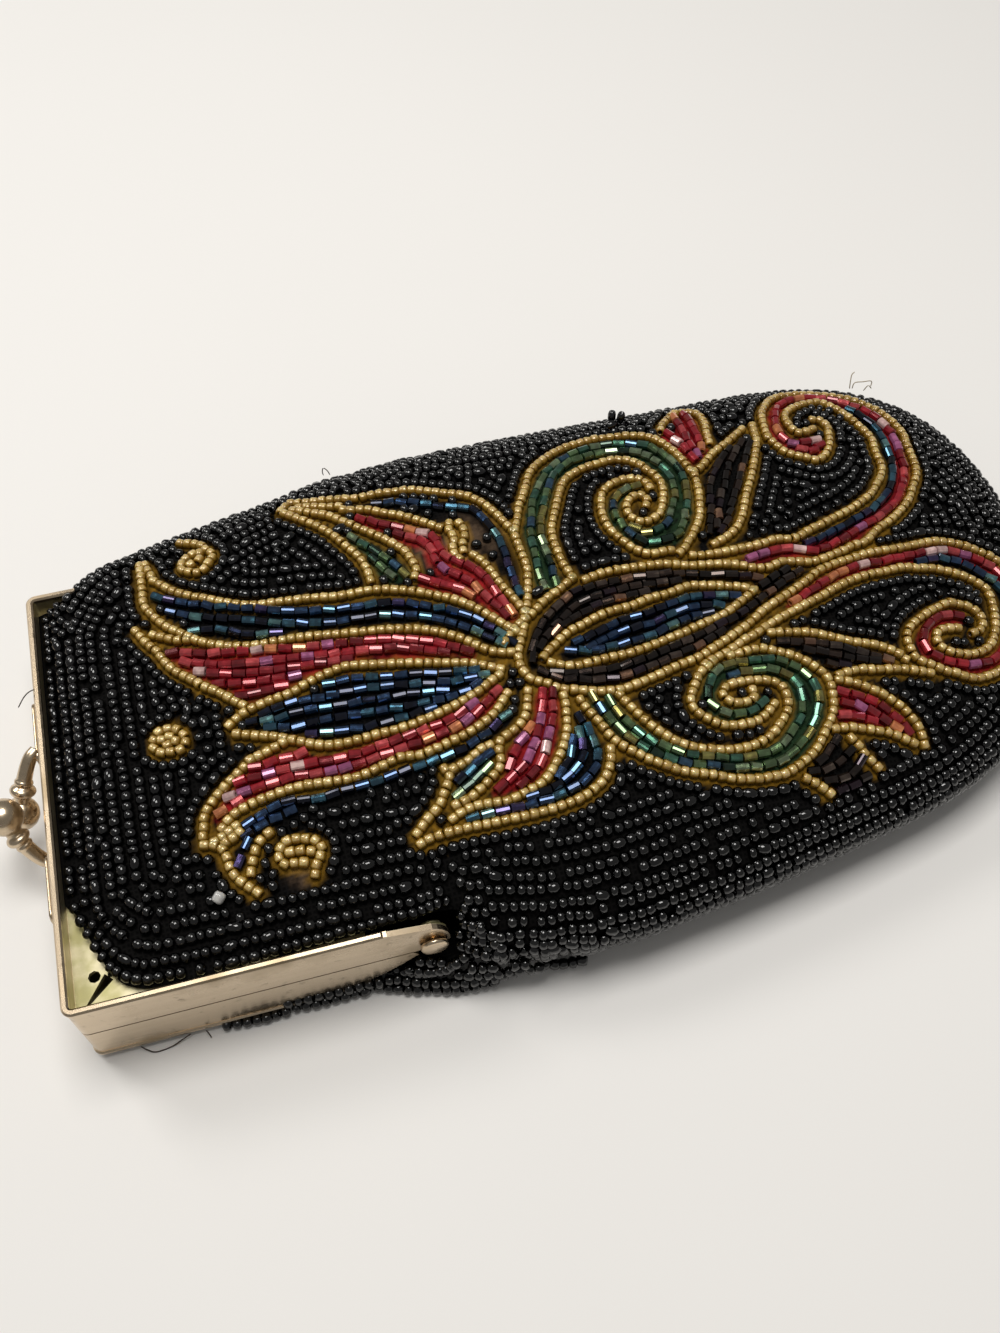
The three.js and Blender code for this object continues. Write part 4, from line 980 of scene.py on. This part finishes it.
# %% Tubes in the colours of their hanks
TUBE_SIZE = (2.17, 1.56)
# Glass colours of each hank, and how often each turns up
HANKS = {
    "blue": ([(0.034, 0.080, 0.175), (0.006, 0.010, 0.027), (0.060, 0.175, 0.25), (0.066, 0.053, 0.155),
              (0.18, 0.39, 0.39)], [0.38, 0.28, 0.17, 0.10, 0.07]),
    "red": ([(0.37, 0.016, 0.026), (0.21, 0.007, 0.013), (0.55, 0.070, 0.075), (0.66, 0.24, 0.09),
             (0.44, 0.13, 0.28), (0.85, 0.60, 0.55)], [0.44, 0.22, 0.14, 0.07, 0.08, 0.05]),
    "green": ([(0.17, 0.29, 0.125), (0.095, 0.26, 0.17), (0.34, 0.32, 0.09), (0.06, 0.15, 0.24),
               (0.32, 0.45, 0.25), (0.02, 0.05, 0.03)], [0.32, 0.20, 0.14, 0.10, 0.15, 0.09]),
    "brown": ([(0.020, 0.012, 0.008), (0.05, 0.03, 0.02), (0.11, 0.08, 0.06), (0.034, 0.018, 0.028),
               (0.34, 0.19, 0.11)], [0.42, 0.28, 0.12, 0.1, 0.08]),
}
GLASS = {"blue": blue_glass, "red": red_glass, "green": green_glass, "brown": brown_glass}
for kind, lines in tube_lines.items():
    work = sew_front(lines)
    shades, share = HANKS[kind]
    picked = np.array(shades)[rng.choice(len(shades), len(work[0]), p=share)]
    picked = picked * rng.uniform(0.75, 1.25, (len(picked), 1))
    string_beads(kind + "_tubes", TUBE_BEAD, work, TUBE_SIZE, GLASS[kind], smooth=False, spread=0.05,
                 tilt=0.09, turn=0.52, colours=picked)

# %% [markdown]
# ## Coloured light on the cloth
# Light that passes through coloured glass tints what lies under it, so the cloth beside a red or
# gold string isn't black. Tracing that light through every bead would be slow. Each corner of the
# cloth gets that light painted into its colour instead, strong under a string and gone a bead's width away.

# %% Painted glow under the glass
# Colour of the painted light that each glass throws onto the cloth
GLOW = {"red": (0.34, 0.012, 0.014), "green": (0.02, 0.05, 0.02), "gold": (0.26, 0.135, 0.010)}
GLOW_REACH = 0.7
FINE_PITCH = 0.8


def nearest(points, others):
    """Distance from each point to the closest of the others, a thousand rows at a time."""
    parts = np.array_split(points, max(len(points) // 1000, 1))
    return np.concatenate([np.linalg.norm(q[:, None] - others[None], axis=-1).min(1) for q in parts])


corners = np.zeros(len(cloth_front.data.vertices) * 3, np.float32)
cloth_front.data.vertices.foreach_get("co", corners)
cloth_plan = corners.reshape(-1, 3)[:, :2] * 1000 - SHIFT[:2]
glow = np.zeros((len(cloth_plan), 4))
glow[:, 3] = 1
painted_glow_lines = {"red": tube_lines["red"], "green": tube_lines["green"], "gold": list(gold_lines.values())}
for kind, lines in painted_glow_lines.items():
    away = nearest(cloth_plan, np.concatenate([evenly(line, FINE_PITCH) for line in lines]))
    glow[:, :3] += np.clip(2 - away / GLOW_REACH, 0, 1)[:, None] * GLOW[kind]
made = cloth_front.data.attributes.new("glow", "FLOAT_COLOR", "POINT")
made.data.foreach_set("color", np.ascontiguousarray(glow, np.float32).ravel())
print("stained corners:", int((glow[:, 0] > 0).sum()))

# %% [markdown]
# ## Black rows
# The black ground is worked last. Near the edge, rows follow the outline of the pouch; close to the
# ornament they echo its outlines, which is how a beader packs the ground. Both are the same
# construction: a line moved sideways by a bead's width, kept only where nothing nearer claims the
# place. Distances between whole arrays decide that.

# %% Rows beside a line
ROW_GAP = 2.3
FIRST_ROW = 0.95
BLACK_PITCH = 1.62
BLACK_SIZE = (1.54, 1.9)
# Lengths of the beads on a string, as shares of the pitch, and how often each turns up
BEAD_LENGTHS, LENGTH_SHARES = [0.86, 0.98, 1.08, 1.5], [0.28, 0.4, 0.25, 0.07]
BEAD_CLEARANCE = 0.08
WAVER_BEADS = 9
WAVER_SHIFT, BEAD_SHIFT = 0.17, 0.06


def beside(line, distance):
    """The line moved sideways: each point plus its left normal times the distance."""
    way = heading(line)
    return line + np.stack([-way[:, 1], way[:, 0]], -1) * distance


def strung(line):
    """Beads of mixed length end to end along a line: the two coordinates and the length of each."""
    run = running(line)
    many = int(run[-1] / BLACK_PITCH / 0.85) + 1
    length = BLACK_PITCH * rng.choice(BEAD_LENGTHS, many, p=LENGTH_SHARES)
    at = np.cumsum(length) - length / 2
    inside = at <= run[-1]
    inside[0] = True
    places = [np.interp(at[inside], run, line[:, k]) for k in (0, 1)]
    return np.stack(places + [length[inside] - BEAD_CLEARANCE], -1)


def waver(row):
    """A row sewn by hand wanders: a random shift every few beads, straight lines between."""
    knots = np.arange(0, len(row) + WAVER_BEADS, WAVER_BEADS)
    shift = np.interp(np.arange(len(row)), knots, rng.normal(0, WAVER_SHIFT, len(knots)))
    moved = beside(row[:, :2], shift[:, None]) + rng.normal(0, BEAD_SHIFT, (len(row), 2))
    return np.concatenate([moved, row[:, 2:]], 1)


def border_rows(outline, count):
    """Rows at even distances inside a flat outline, trimmed where two sides meet."""
    rows = []
    for k in range(count):
        distance = FIRST_ROW + ROW_GAP * k
        moved = beside(outline, distance)
        kept = moved[nearest(moved, outline) > distance - BEAD_CLEARANCE]
        if len(kept) > 8:
            rows.append(waver(strung(kept)))
    return rows


def sew_flat(panel, rows):
    """Rows on a flat pattern to bead centres, thread directions and ups."""
    flat = np.concatenate(rows)
    flat, length = flat[:, :2], flat[:, 2]
    way = np.concatenate([heading(row[:, :2]) for row in rows]) * 0.4
    points, up = panel.lift(*panel.fold(flat))
    along = panel.face(*panel.fold(flat + way)) - panel.face(*panel.fold(flat - way))
    return points, unit(along), up, length


def pick(work, keep):
    """The same beads of every array in a work."""
    return tuple(part[keep] for part in work)


def together(*works):
    """Several works joined into one, array by array."""
    return tuple(np.concatenate(group) for group in zip(*works))


def thin_out(work, taken, gap, own_gap):
    """Drops beads closer than gap to those taken, then any closer than own_gap to an earlier one."""
    work = pick(work, nearest(work[0], taken) > gap)
    points = work[0]
    keep = np.ones(len(points), bool)
    for i in range(1, len(points)):
        keep[i] = not (np.linalg.norm(points[:i][keep[:i]] - points[i], axis=1) < own_gap).any()
    return pick(work, keep)


# %% Echo rows round the ornament
ECHO_ROWS = 6
BORDER_REACH = 24.0
ORNAMENT_GAP = 1.66
ornament = list(gold_lines.values()) + [line for lines in tube_lines.values() for line in lines]
ornament = np.concatenate([evenly(line, FINE_PITCH) for line in ornament if len(line) > 1])
echo_lines = []
for line in gold_lines.values():
    fine = evenly(line, 0.6)
    for k in range(1, ECHO_ROWS + 1):
        for side in (-1, 1):
            moved = beside(fine, side * ROW_GAP * k)
            clear = nearest(moved, ornament) > ROW_GAP * k - 0.28
            runs = np.split(moved, np.flatnonzero(~clear[1:] | ~clear[:-1]) + 1)
            runs = [run for run in runs if len(run) > 3 and nearest(run[:1], moved[clear])[0] < 1e-6]
            echo_lines += [(k, strung(run)) for run in runs]
echo_plan = np.concatenate([line for _, line in echo_lines])
echo_rank = np.concatenate([np.full(len(line), k) for k, line in echo_lines])
echo_work = sew_front([line for _, line in echo_lines]) + (echo_plan[:, 2],)
echo_edge = nearest(front.spread(*on_front(echo_plan)), front.outline)
allowed = (echo_rank <= 1) & (echo_edge > 1.5) | (echo_edge > BORDER_REACH)
echo_work, echo_rank = pick(echo_work, allowed), echo_rank[allowed]
echo_work = pick(echo_work, np.argsort(echo_rank, kind="stable"))
ornament_points = front.face(*on_front(ornament))
ground_work = thin_out(echo_work, ornament_points, ORNAMENT_GAP, 1.48)
print("echo beads:", len(ground_work[0]))

# %% [markdown]
# ## Rows along the edge
# Rows beside the near arm follow the arm and run straight on past the hinge, where the pouch swells
# out and new rows start below them. So there are two families of rows, one from the arm's edge and
# one from the pouch's, and each keeps its own side of the place where they meet.

# %% Two families of edge rows
ARM_END_X, HINGE_X, POUCH_FROM_X, ROWS_MEET_X = 52.0, 57.5, 61.0, 63.0
EDGE_ROWS = 26
near_edge = front.v[:, 0]
arm_edge, pouch_edge = np.interp([ARM_END_X, POUCH_FROM_X], front.x, near_edge)
arm_line = front.edged(np.where(front.x > ARM_END_X, arm_edge, near_edge))
pouch_line = front.edged(np.where(front.x < POUCH_FROM_X, pouch_edge, near_edge))
arm_rows = border_rows(arm_line, EDGE_ROWS)
pouch_rows = border_rows(pouch_line, EDGE_ROWS)
arm_flat, pouch_flat = np.concatenate(arm_rows), np.concatenate(pouch_rows)
meet, hinge = np.interp([ROWS_MEET_X, HINGE_X], front.x, front.u)
by_arm = (arm_flat[:, 0] < meet) & (arm_flat[:, 1] < 0)
by_pouch = (pouch_flat[:, 0] >= meet) | (pouch_flat[:, 1] >= 0)
by_pouch |= (pouch_flat[:, 0] > hinge) & (pouch_flat[:, 1] < arm_edge - 0.4)
by_pouch &= pouch_flat[:, 1] > np.interp(pouch_flat[:, 0], front.u, near_edge) + 0.7
arm_work = pick(sew_flat(front, arm_rows), by_arm)
pouch_work = pick(sew_flat(front, pouch_rows), by_pouch)
taken = np.concatenate([ornament_points, ground_work[0]])
border_work = thin_out(together(arm_work, pouch_work), taken, ORNAMENT_GAP, 1.36)
print("edge beads:", len(border_work[0]))

# %% Beads that fill the gaps, then both blacks
LOOSE_LENGTH = 1.44
TORN_SHARE = 0.85
loose_rows = [evenly(beside(front.outline, d), 0.9) for d in np.arange(1.2, 46, 0.7)]
loose_rows = [row[nearest(row, front.outline) > 0.8] for row in loose_rows]
loose_rows = [np.concatenate([row, np.full((len(row), 1), LOOSE_LENGTH)], 1) for row in loose_rows]
loose_work = sew_flat(front, loose_rows)
taken = np.concatenate([ornament_points, ground_work[0], border_work[0]])
loose_work = thin_out(loose_work, taken, 1.6, 1.66)
print("beads that fill the gaps:", len(loose_work[0]))
ground_work = together(ground_work, loose_work)
for word, work in (("ground", ground_work), ("border", border_work)):
    torn = (np.linalg.norm(work[0][:, None, :2] - WORN[:, :2], axis=-1) < WORN[:, 2]).any(1)
    torn &= rng.random(len(torn)) < TORN_SHARE
    work = pick(work, ~torn)
    string_beads("black_beads_" + word, ROUND_BEAD, work, BLACK_SIZE, jet, spread=0.06, tilt=0.16)

# %% [markdown]
# ## The back
# The back is black all over, in rows from its edge to its middle. The outer rows show at the sides,
# so they get the round bead. The rest lie on the table, where a bead of fewer faces is enough.

# %% Rows on the back
BACK_ROWS, SIDE_ROWS = 27, 7
back_rows = border_rows(back.outline, BACK_ROWS)
back_work = sew_flat(back, back_rows)
at_sides = sum(len(row) for row in back_rows[:SIDE_ROWS])
side_work, under_work = pick(back_work, slice(0, at_sides)), pick(back_work, slice(at_sides, None))
string_beads("black_beads_sides", ROUND_BEAD, side_work, BLACK_SIZE, jet, spread=0.06, tilt=0.16)
string_beads("black_beads_back", PLAIN_BEAD, under_work, BLACK_SIZE, jet)

# %% [markdown]
# ## Strings at the hinge, fringe and strays
# Beside each hinge the two panels are drawn together, and strings of beads cover the join. Under
# the near arm the back's last strings hang out past the frame. A few beads have worked loose and
# stand on their threads. They lie on no panel, so each string is a line given in space. The
# seam round the pouch is the panels' own edge, so its strings are worked out from the sections.

# %% Strings given one by one
FREE_PITCH = 1.6
HINGE_STRINGS = [
    [(44, -39.4, 1.6), (48, -40.8, 1.7), (52, -42.0, 1.8), (57, -43.2, 1.9), (62, -43.5, 2.4)],
    [(47, -39.5, 3.5), (50.5, -41.0, 3.6), (54, -42.2, 3.8), (58, -43.2, 4.0), (62, -43.6, 4.3),
     (65, -43.7, 4.8)],
    [(49, -39.3, 5.7), (52, -40.6, 6.0), (55.5, -41.9, 6.1), (59, -43.1, 6.2), (64, -43.9, 6.3),
     (69, -44.7, 6.5)],
    [(51, -39.3, 7.9), (54, -40.4, 8.3), (57, -41.9, 8.4), (60, -43.0, 8.4), (65, -43.8, 8.4),
     (70, -44.9, 8.5)],
    [(57.2, -39.3, 10.6), (58.6, -40.7, 11.5), (60.4, -42.3, 12.2)],
    [(57.2, -38.2, 12.8), (58.6, -39.6, 13.8), (60.4, -41.2, 14.5)],
    [(57.2, -37.2, 14.9), (58.6, -38.3, 15.9), (60.4, -39.7, 16.6)],
]
FAR_STRINGS = [
    [(48, 40.6, 4.6), (51, 44.6, 5.4), (54.5, 49.4, 6.6), (58, 53.6, 8.2)],
    [(48.5, 41.2, 6.8), (51.5, 45.6, 7.6), (55, 50.4, 8.6), (58.6, 54.2, 9.8)],
    [(48, 42.4, 9.0), (51, 46.8, 9.5), (54.5, 51.2, 10.1), (58, 54.6, 10.6)],
]
FRINGE_STRINGS = [
    [(20, -39.4, 1.3), (26, -39.9, 1.3), (31, -39.5, 1.3), (36, -39.7, 1.4), (42, -39.6, 1.4)],
    [(30, -38.9, 2.9), (36, -39.1, 2.9), (42, -39.3, 3.1), (46, -39.6, 3.3)],
    [(70.5, -43.4, 3.0), (73.4, -43.9, 2.4), (76.4, -44.1, 2.6)],
]


def sew_free(strings, facing):
    """Given lines to bead places: even steps along each, with one direction for the outside."""
    lines = [smooth_line(np.array(string, float), FREE_PITCH) for string in strings]
    points = np.concatenate(lines)
    along = np.concatenate([heading(line) for line in lines])
    up = np.array(facing, float)
    return points, along, unit(up - (along * up).sum(1, keepdims=True) * along)


panel_beads = np.concatenate([border_work[0], back_work[0]])
hinge_work = thin_out(sew_free(HINGE_STRINGS, (-0.25, -0.8, 0.5)), panel_beads, 1.2, 1.2)
fringe_work = sew_free(FRINGE_STRINGS, (0, -1, 0.25))
far_work = thin_out(sew_free(FAR_STRINGS, (-0.4, 0.8, -0.2)), panel_beads, 1.2, 1.2)
print("beads at the hinges and in the fringe:", len(hinge_work[0]), len(far_work[0]), len(fringe_work[0]))

# %% Strings along the seam
SEAM_FROM, END_FROM, ROUND_FROM = 58.5, 150, 170


def round_the_end(near, far, lean):
    """One string along the near side, round the end and back: its places, directions and ups."""
    line = evenly(np.concatenate([near, far[::-1]]), FREE_PITCH)
    out = np.cross(heading(line), [0, 0, 1.0])
    return line, heading(line), unit(out + [0, 0, lean])


def on_seam():
    """The line where the panels meet: halfway between their edges, from hinge to hinge."""
    x = stations(SEAM_FROM, ROUND_FROM, LAST_X, (200, 200))
    near, far = ((front_face(x, s) + back_face(x, s)) / 2 for s in (-1.0, 1.0))
    return round_the_end(near, far, 0)


def below_seam(depth):
    """The line on the back at a depth under its edge: the section's formula solved for s."""
    x = stations(END_FROM, ROUND_FROM, LAST_X, (60, 400))
    drop = through(BACK_SECTIONS, 3, x) * np.sqrt(round_end(x, CAP_RISE_POWER)) * BACK_FLATNESS
    x, part = x[drop > depth], depth / drop[drop > depth]
    s = (1 - part ** (1 / BACK_ROUND)) ** (1 / BACK_ARCH)
    return round_the_end(back_face(x, -s), back_face(x, s), -0.3)


end_work = thin_out(together(below_seam(2.1), below_seam(4.2)), panel_beads, 1.5, 1.3)
edge_work = together(hinge_work, fringe_work, far_work, on_seam(), end_work)
string_beads("black_beads_edge", ROUND_BEAD, edge_work, BLACK_SIZE, jet, spread=0.12, tilt=0.3)

# %% Stray beads
# Outer side of the middle, thread direction, outward direction
STRAYS = np.array([
    [[109.8, 49.6, 22.9], [0.05, 0.35, 0.93], [0, -0.93, 0.35]],
    [[111.2, 48.5, 23.0], [0.15, 0.1, 0.98], [0, -0.98, 0.1]],
    [[109.1, 48.3, 23.2], [0.9, 0.3, 0.1], [0, -0.3, 0.95]],
])
string_beads("stray_black_beads", ROUND_BEAD, tuple(STRAYS.transpose(1, 0, 2)), (2.1, 1.6), jet)
clear_glass, p = finish_named("clear_glass")
coat(clear_glass, Base_Color=(0.72, 0.71, 0.68, 1), Roughness=0.06, Transmission_Weight=0.4)
CLEAR_BEAD = np.array([[[24.2, -26.3, 22.2], [0.8, 0.55, 0.1], [0, -0.1, 1]]])
string_beads("stray_clear_bead", BARREL_BEAD, tuple(CLEAR_BEAD.transpose(1, 0, 2)), (1.6, 1.8), clear_glass)

# %% [markdown]
# ## Metal
# The frame is pressed brass with a thin champagne plate, brushed along its length, dull and brown
# where hands and thread have worn it, and greenish inside where nobody polishes it. The CAD frame
# has the right shape and keeps its mesh; streaky noise gives the brushing, blotches the tarnish,
# and a mask on the distance from the outline keeps the green to the inside.

# %% Champagne plate
plate, p = finish_named("champagne_plate")
brushed = p.noise(260, 4.0, (0.15, 0.15, 4.0))
blotch = p.noise(70, 5.0).step(0.5, 0.75)
speck = p.noise(520, 3.0).step(0.62, 0.78)
# Inner faces of the bar and the arms and the underside of the rim, in metres
INNER_X, INNER_Y, INNER_Z = (0.75 + SHIFT[0]) / 1000, 37.25 / 1000, (19.0 + SHIFT[2]) / 1000
FADE = 0.0003
place = p.node("ShaderNodeTexCoord", out="Object")
part_x, part_y, part_z = (p.node("ShaderNodeSeparateXYZ", None, {0: place}, k) for k in range(3))
off_side = p.maths("ABSOLUTE", part_y - float(SHIFT[1] / 1000), 0.0)
inside = part_x.step(INNER_X, INNER_X + FADE) * (1 - off_side.step(INNER_Y - FADE, INNER_Y))
inside = inside * (1 - part_z.step(INNER_Z, INNER_Z + FADE))
bright = brushed.mix((0.56, 0.44, 0.30, 1), (0.72, 0.59, 0.43, 1))
dull = blotch.mix(bright, (0.34, 0.26, 0.16, 1))
green = p.noise(240, 4.0).step(0.35, 0.7).mix((0.36, 0.33, 0.15, 1), (0.60, 0.54, 0.36, 1))
worn_plate = (speck * 0.6).mix(dull, (0.12, 0.08, 0.04, 1))
coat(plate, Base_Color=inside.mix(worn_plate, green), Metallic=1.0 - 0.35 * inside)
coat(plate, Roughness=0.2 + 0.16 * blotch + 0.1 * brushed + 0.2 * inside)
coat(plate, Normal=p.bump(brushed, 0.00004, 0.4))
for name in ("frame_front", "frame_back"):
    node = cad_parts[name]
    node.data.materials.clear()
    node.data.materials.append(plate)
print("plated:", plate.name)

# %% [markdown]
# ## Kiss-lock and rivets
# The kiss-lock is two balls on bent stems that snap past each other, each with a flat collar where
# the stem meets its ball; a rivet is a turned pin with a domed head. They are circles of changing
# radius carried along a line, so one function makes them, much smoother than the CAD solids whose
# places they take. Only the strips on the bar are flat, and another short function makes those.


# %% Circles carried along a line
def carried(path, radius, sides):
    """Corners: centre + radius * (cos * side + sin * up), with side square to the line and to x."""
    way = unit(np.gradient(path, axis=0))
    side = unit(np.cross(way, [1.0, 0, 0]))
    up = np.cross(side, way)
    angle = 2 * np.pi * np.arange(sides) / sides
    ring = np.cos(angle)[None, :, None] * side[:, None] + np.sin(angle)[None, :, None] * up[:, None]
    return path[:, None] + radius[:, None, None] * ring


def closed_tubes(name, tubes, material):
    """Joins grids of corners that are closed round into one piece and welds their ends."""
    corners = np.concatenate([tube.reshape(-1, 3) for tube in tubes])
    first = np.cumsum([0] + [tube.shape[0] * tube.shape[1] for tube in tubes])
    quads = [grid_quads(*tube.shape[:2], False, True) + at for tube, at in zip(tubes, first)]
    piece = mesh_piece(name, to_part(corners), np.concatenate(quads), material)
    weld(piece)
    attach(piece, "root")
    print(name, "faces:", len(piece.data.polygons))
    return piece


# %% Stems with a ball, and strips
STEM_RADIUS = 1.1
STEM_FLARE = 0.3
COLLAR_HALF, NECK_HALF = 1.15, 0.9
NECK_SHARE, NECK_BACK = 0.72, 1.5
STEM_SIDES, STRIP_SIDES, STRIP_STEPS = 20, 24, 13
STRIP_SQUARE = 0.35


def bulge(run, middle, half):
    """Half an ellipse along the run: 1 at the middle, 0 at half its length to either side."""
    return np.sqrt(np.clip(1 - ((run - middle) / half) ** 2, 0, 1))


def stem_and_ball(places, ball, collar, collar_back):
    """Radius along the stem: the largest of the stem, its collar, a neck and a ball at the end."""
    line = smooth_line(np.array(places, float), 0.12)
    last = unit(line[-1] - line[-2])
    line = np.concatenate([line, line[-1] + last * np.linspace(0.06, ball, 24)[:, None]])
    run = running(line)
    centre = run[-1] - ball
    seat = centre - collar_back
    radius = np.max([
        np.where(run < centre, STEM_RADIUS * (1 + STEM_FLARE * np.clip(run / centre, 0, 1)), 0),
        collar * bulge(run, seat, COLLAR_HALF),
        NECK_SHARE * collar * bulge(run, seat - NECK_BACK, NECK_HALF),
        ball * bulge(run, centre, ball),
    ], axis=0)
    radius[[0, -1]] = 0
    return carried(line, radius, STEM_SIDES)


def strip(x, y, z):
    """A rounded bar between two y: a superellipse of x and z, drawn in at both ends."""
    along = (1 - np.cos(np.pi * np.linspace(0, 1, STRIP_STEPS))) / 2
    ends = np.clip(1 - np.abs(2 * along - 1) ** 40, 0, 1) ** 0.5
    turn = 2 * np.pi * np.arange(STRIP_SIDES) / STRIP_SIDES
    shape = np.stack([np.cos(turn), np.sin(turn)], -1)
    shape = np.sign(shape) * np.abs(shape) ** STRIP_SQUARE
    corners = np.zeros((STRIP_STEPS, STRIP_SIDES, 3))
    corners[..., 0] = (x[0] + x[1]) / 2 + (x[1] - x[0]) / 2 * ends[:, None] * shape[:, 0]
    corners[..., 1] = (y[0] + (y[1] - y[0]) * along)[:, None]
    corners[..., 2] = (z[0] + z[1]) / 2 + (z[1] - z[0]) / 2 * ends[:, None] * shape[:, 1]
    return corners


# %% The kiss-lock's halves and the rivets
STRIP_X = (-1.15, -0.45)
FRONT_STEM = [(-0.9, 8.4, 18.1), (-2.4, 7.0, 17.5), (-4.2, 4.5, 14.9), (-6.0, 1.9, 10.3)]
BACK_STEM = [(-0.9, -6.6, 7.5), (-3.6, -6.4, 8.6), (-6, -4.2, 12.1), (-7.3, -1.5, 16.1)]
front_half = [
    stem_and_ball(FRONT_STEM, ball=2.85, collar=2.1, collar_back=4.4),
    strip(STRIP_X, (-22, 17.5), (11.5, 14.8)),
    strip(STRIP_X, (6.2, 17.5), (11.5, 18.6)),
    strip(STRIP_X, (-22, -11), (11.5, 18.6)),
]
back_half = [
    stem_and_ball(BACK_STEM, ball=3.05, collar=2.0, collar_back=4.3),
    strip(STRIP_X, (-17.5, 17.5), (2.3, 9.9)),
]
for word, half in (("front", front_half), ("back", back_half)):
    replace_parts(closed_tubes("kiss_lock_" + word, half, plate), "clasp_" + word)

RIVET_AT = (53.9, 12.7)
RIVET_SIDES = 28
# Distance from the middle of the purse and radius, from the tail inside to the head outside
RIVET_PROFILE = np.array([
    [34.9, 0], [34.9, 1.3], [35.1, 1.7], [35.5, 1.7], [35.55, 1.0], [38.25, 1.0], [38.3, 2.15],
    [38.6, 2.25], [38.85, 2.2], [39.05, 2.0], [39.12, 1.75], [39.16, 1.2], [39.2, 0.6], [39.22, 0],
])
for word, side in (("near", -1), ("far", 1)):
    pin = np.zeros((len(RIVET_PROFILE), 3))
    pin[:, 0], pin[:, 2] = RIVET_AT
    pin[:, 1] = side * (RIVET_PROFILE[:, 0] + 0.001 * np.arange(len(pin)))
    turned_pin = carried(pin, RIVET_PROFILE[:, 1], RIVET_SIDES)
    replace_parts(closed_tubes("rivet_" + word, [turned_pin], plate), "hinge_rivet_" + word)

# %% [markdown]
# ## Thread ends
# The purse is old, and some of its sewing thread has come out: a hair over the bar, a loop below
# the near arm, frayed ends at the far side. Each is a thin circle carried along a short line.

# %% Loose thread ends
DARK_ENDS = [
    [(0.6, 19.0, 19.8), (-0.7, 18.5, 20.1), (-2.0, 18.4, 19.0), (-3.6, 17.9, 17.0)],
    [(6.7, -38.3, 1.5), (7.6, -38.9, 0.6), (8.8, -39.4, 0.2), (11.1, -39.2, 0.2), (13.1, -38.7, 0.8),
     (14.6, -38.3, 1.3)],
    [(16.8, -38.3, 1.3), (17.2, -39.0, 0.8), (17.4, -39.5, 0.2)],
    [(56.0, 51.8, 20.2), (55.6, 52.2, 21.2), (55.0, 52.6, 21.6), (54.7, 52.3, 21.0), (54.8, 52.0, 20.2)],
]
PALE_ENDS = [
    [(159.3, 50.4, 16.8), (159.4, 51.0, 18.4), (159.7, 51.6, 19.5), (160.3, 51.7, 20.0)],
    [(159.7, 50.2, 16.9), (160.1, 50.5, 18.2), (161.5, 50.0, 18.6), (163.4, 50.0, 18.3), (163.2, 49.4, 17.4)],
    [(161.8, 49.4, 16.6), (162.5, 49.3, 18.0), (163.3, 49.0, 17.2)],
]
THREAD_RADIUS = 0.1
THREAD_SIDES = 6


def thread_ends(word, ends, low, high):
    """Thin circles carried along each line and closed at both ends, in a mottled thread colour."""
    material, p = finish_named(word + "_thread")
    coat(material, Base_Color=p.noise(900).mix(low, high), Roughness=0.8)
    lines = [smooth_line(np.array(end, float), 0.3) for end in ends]
    radii = [np.r_[0, np.full(len(line) - 2, THREAD_RADIUS), 0] for line in lines]
    tubes = [carried(line, radius, THREAD_SIDES) for line, radius in zip(lines, radii)]
    closed_tubes("thread_ends_" + word, tubes, material)


thread_ends("dark", DARK_ENDS, (0.020, 0.013, 0.010, 1), (0.060, 0.036, 0.026, 1))
thread_ends("pale", PALE_ENDS, (0.34, 0.27, 0.18, 1), (0.56, 0.48, 0.36, 1))
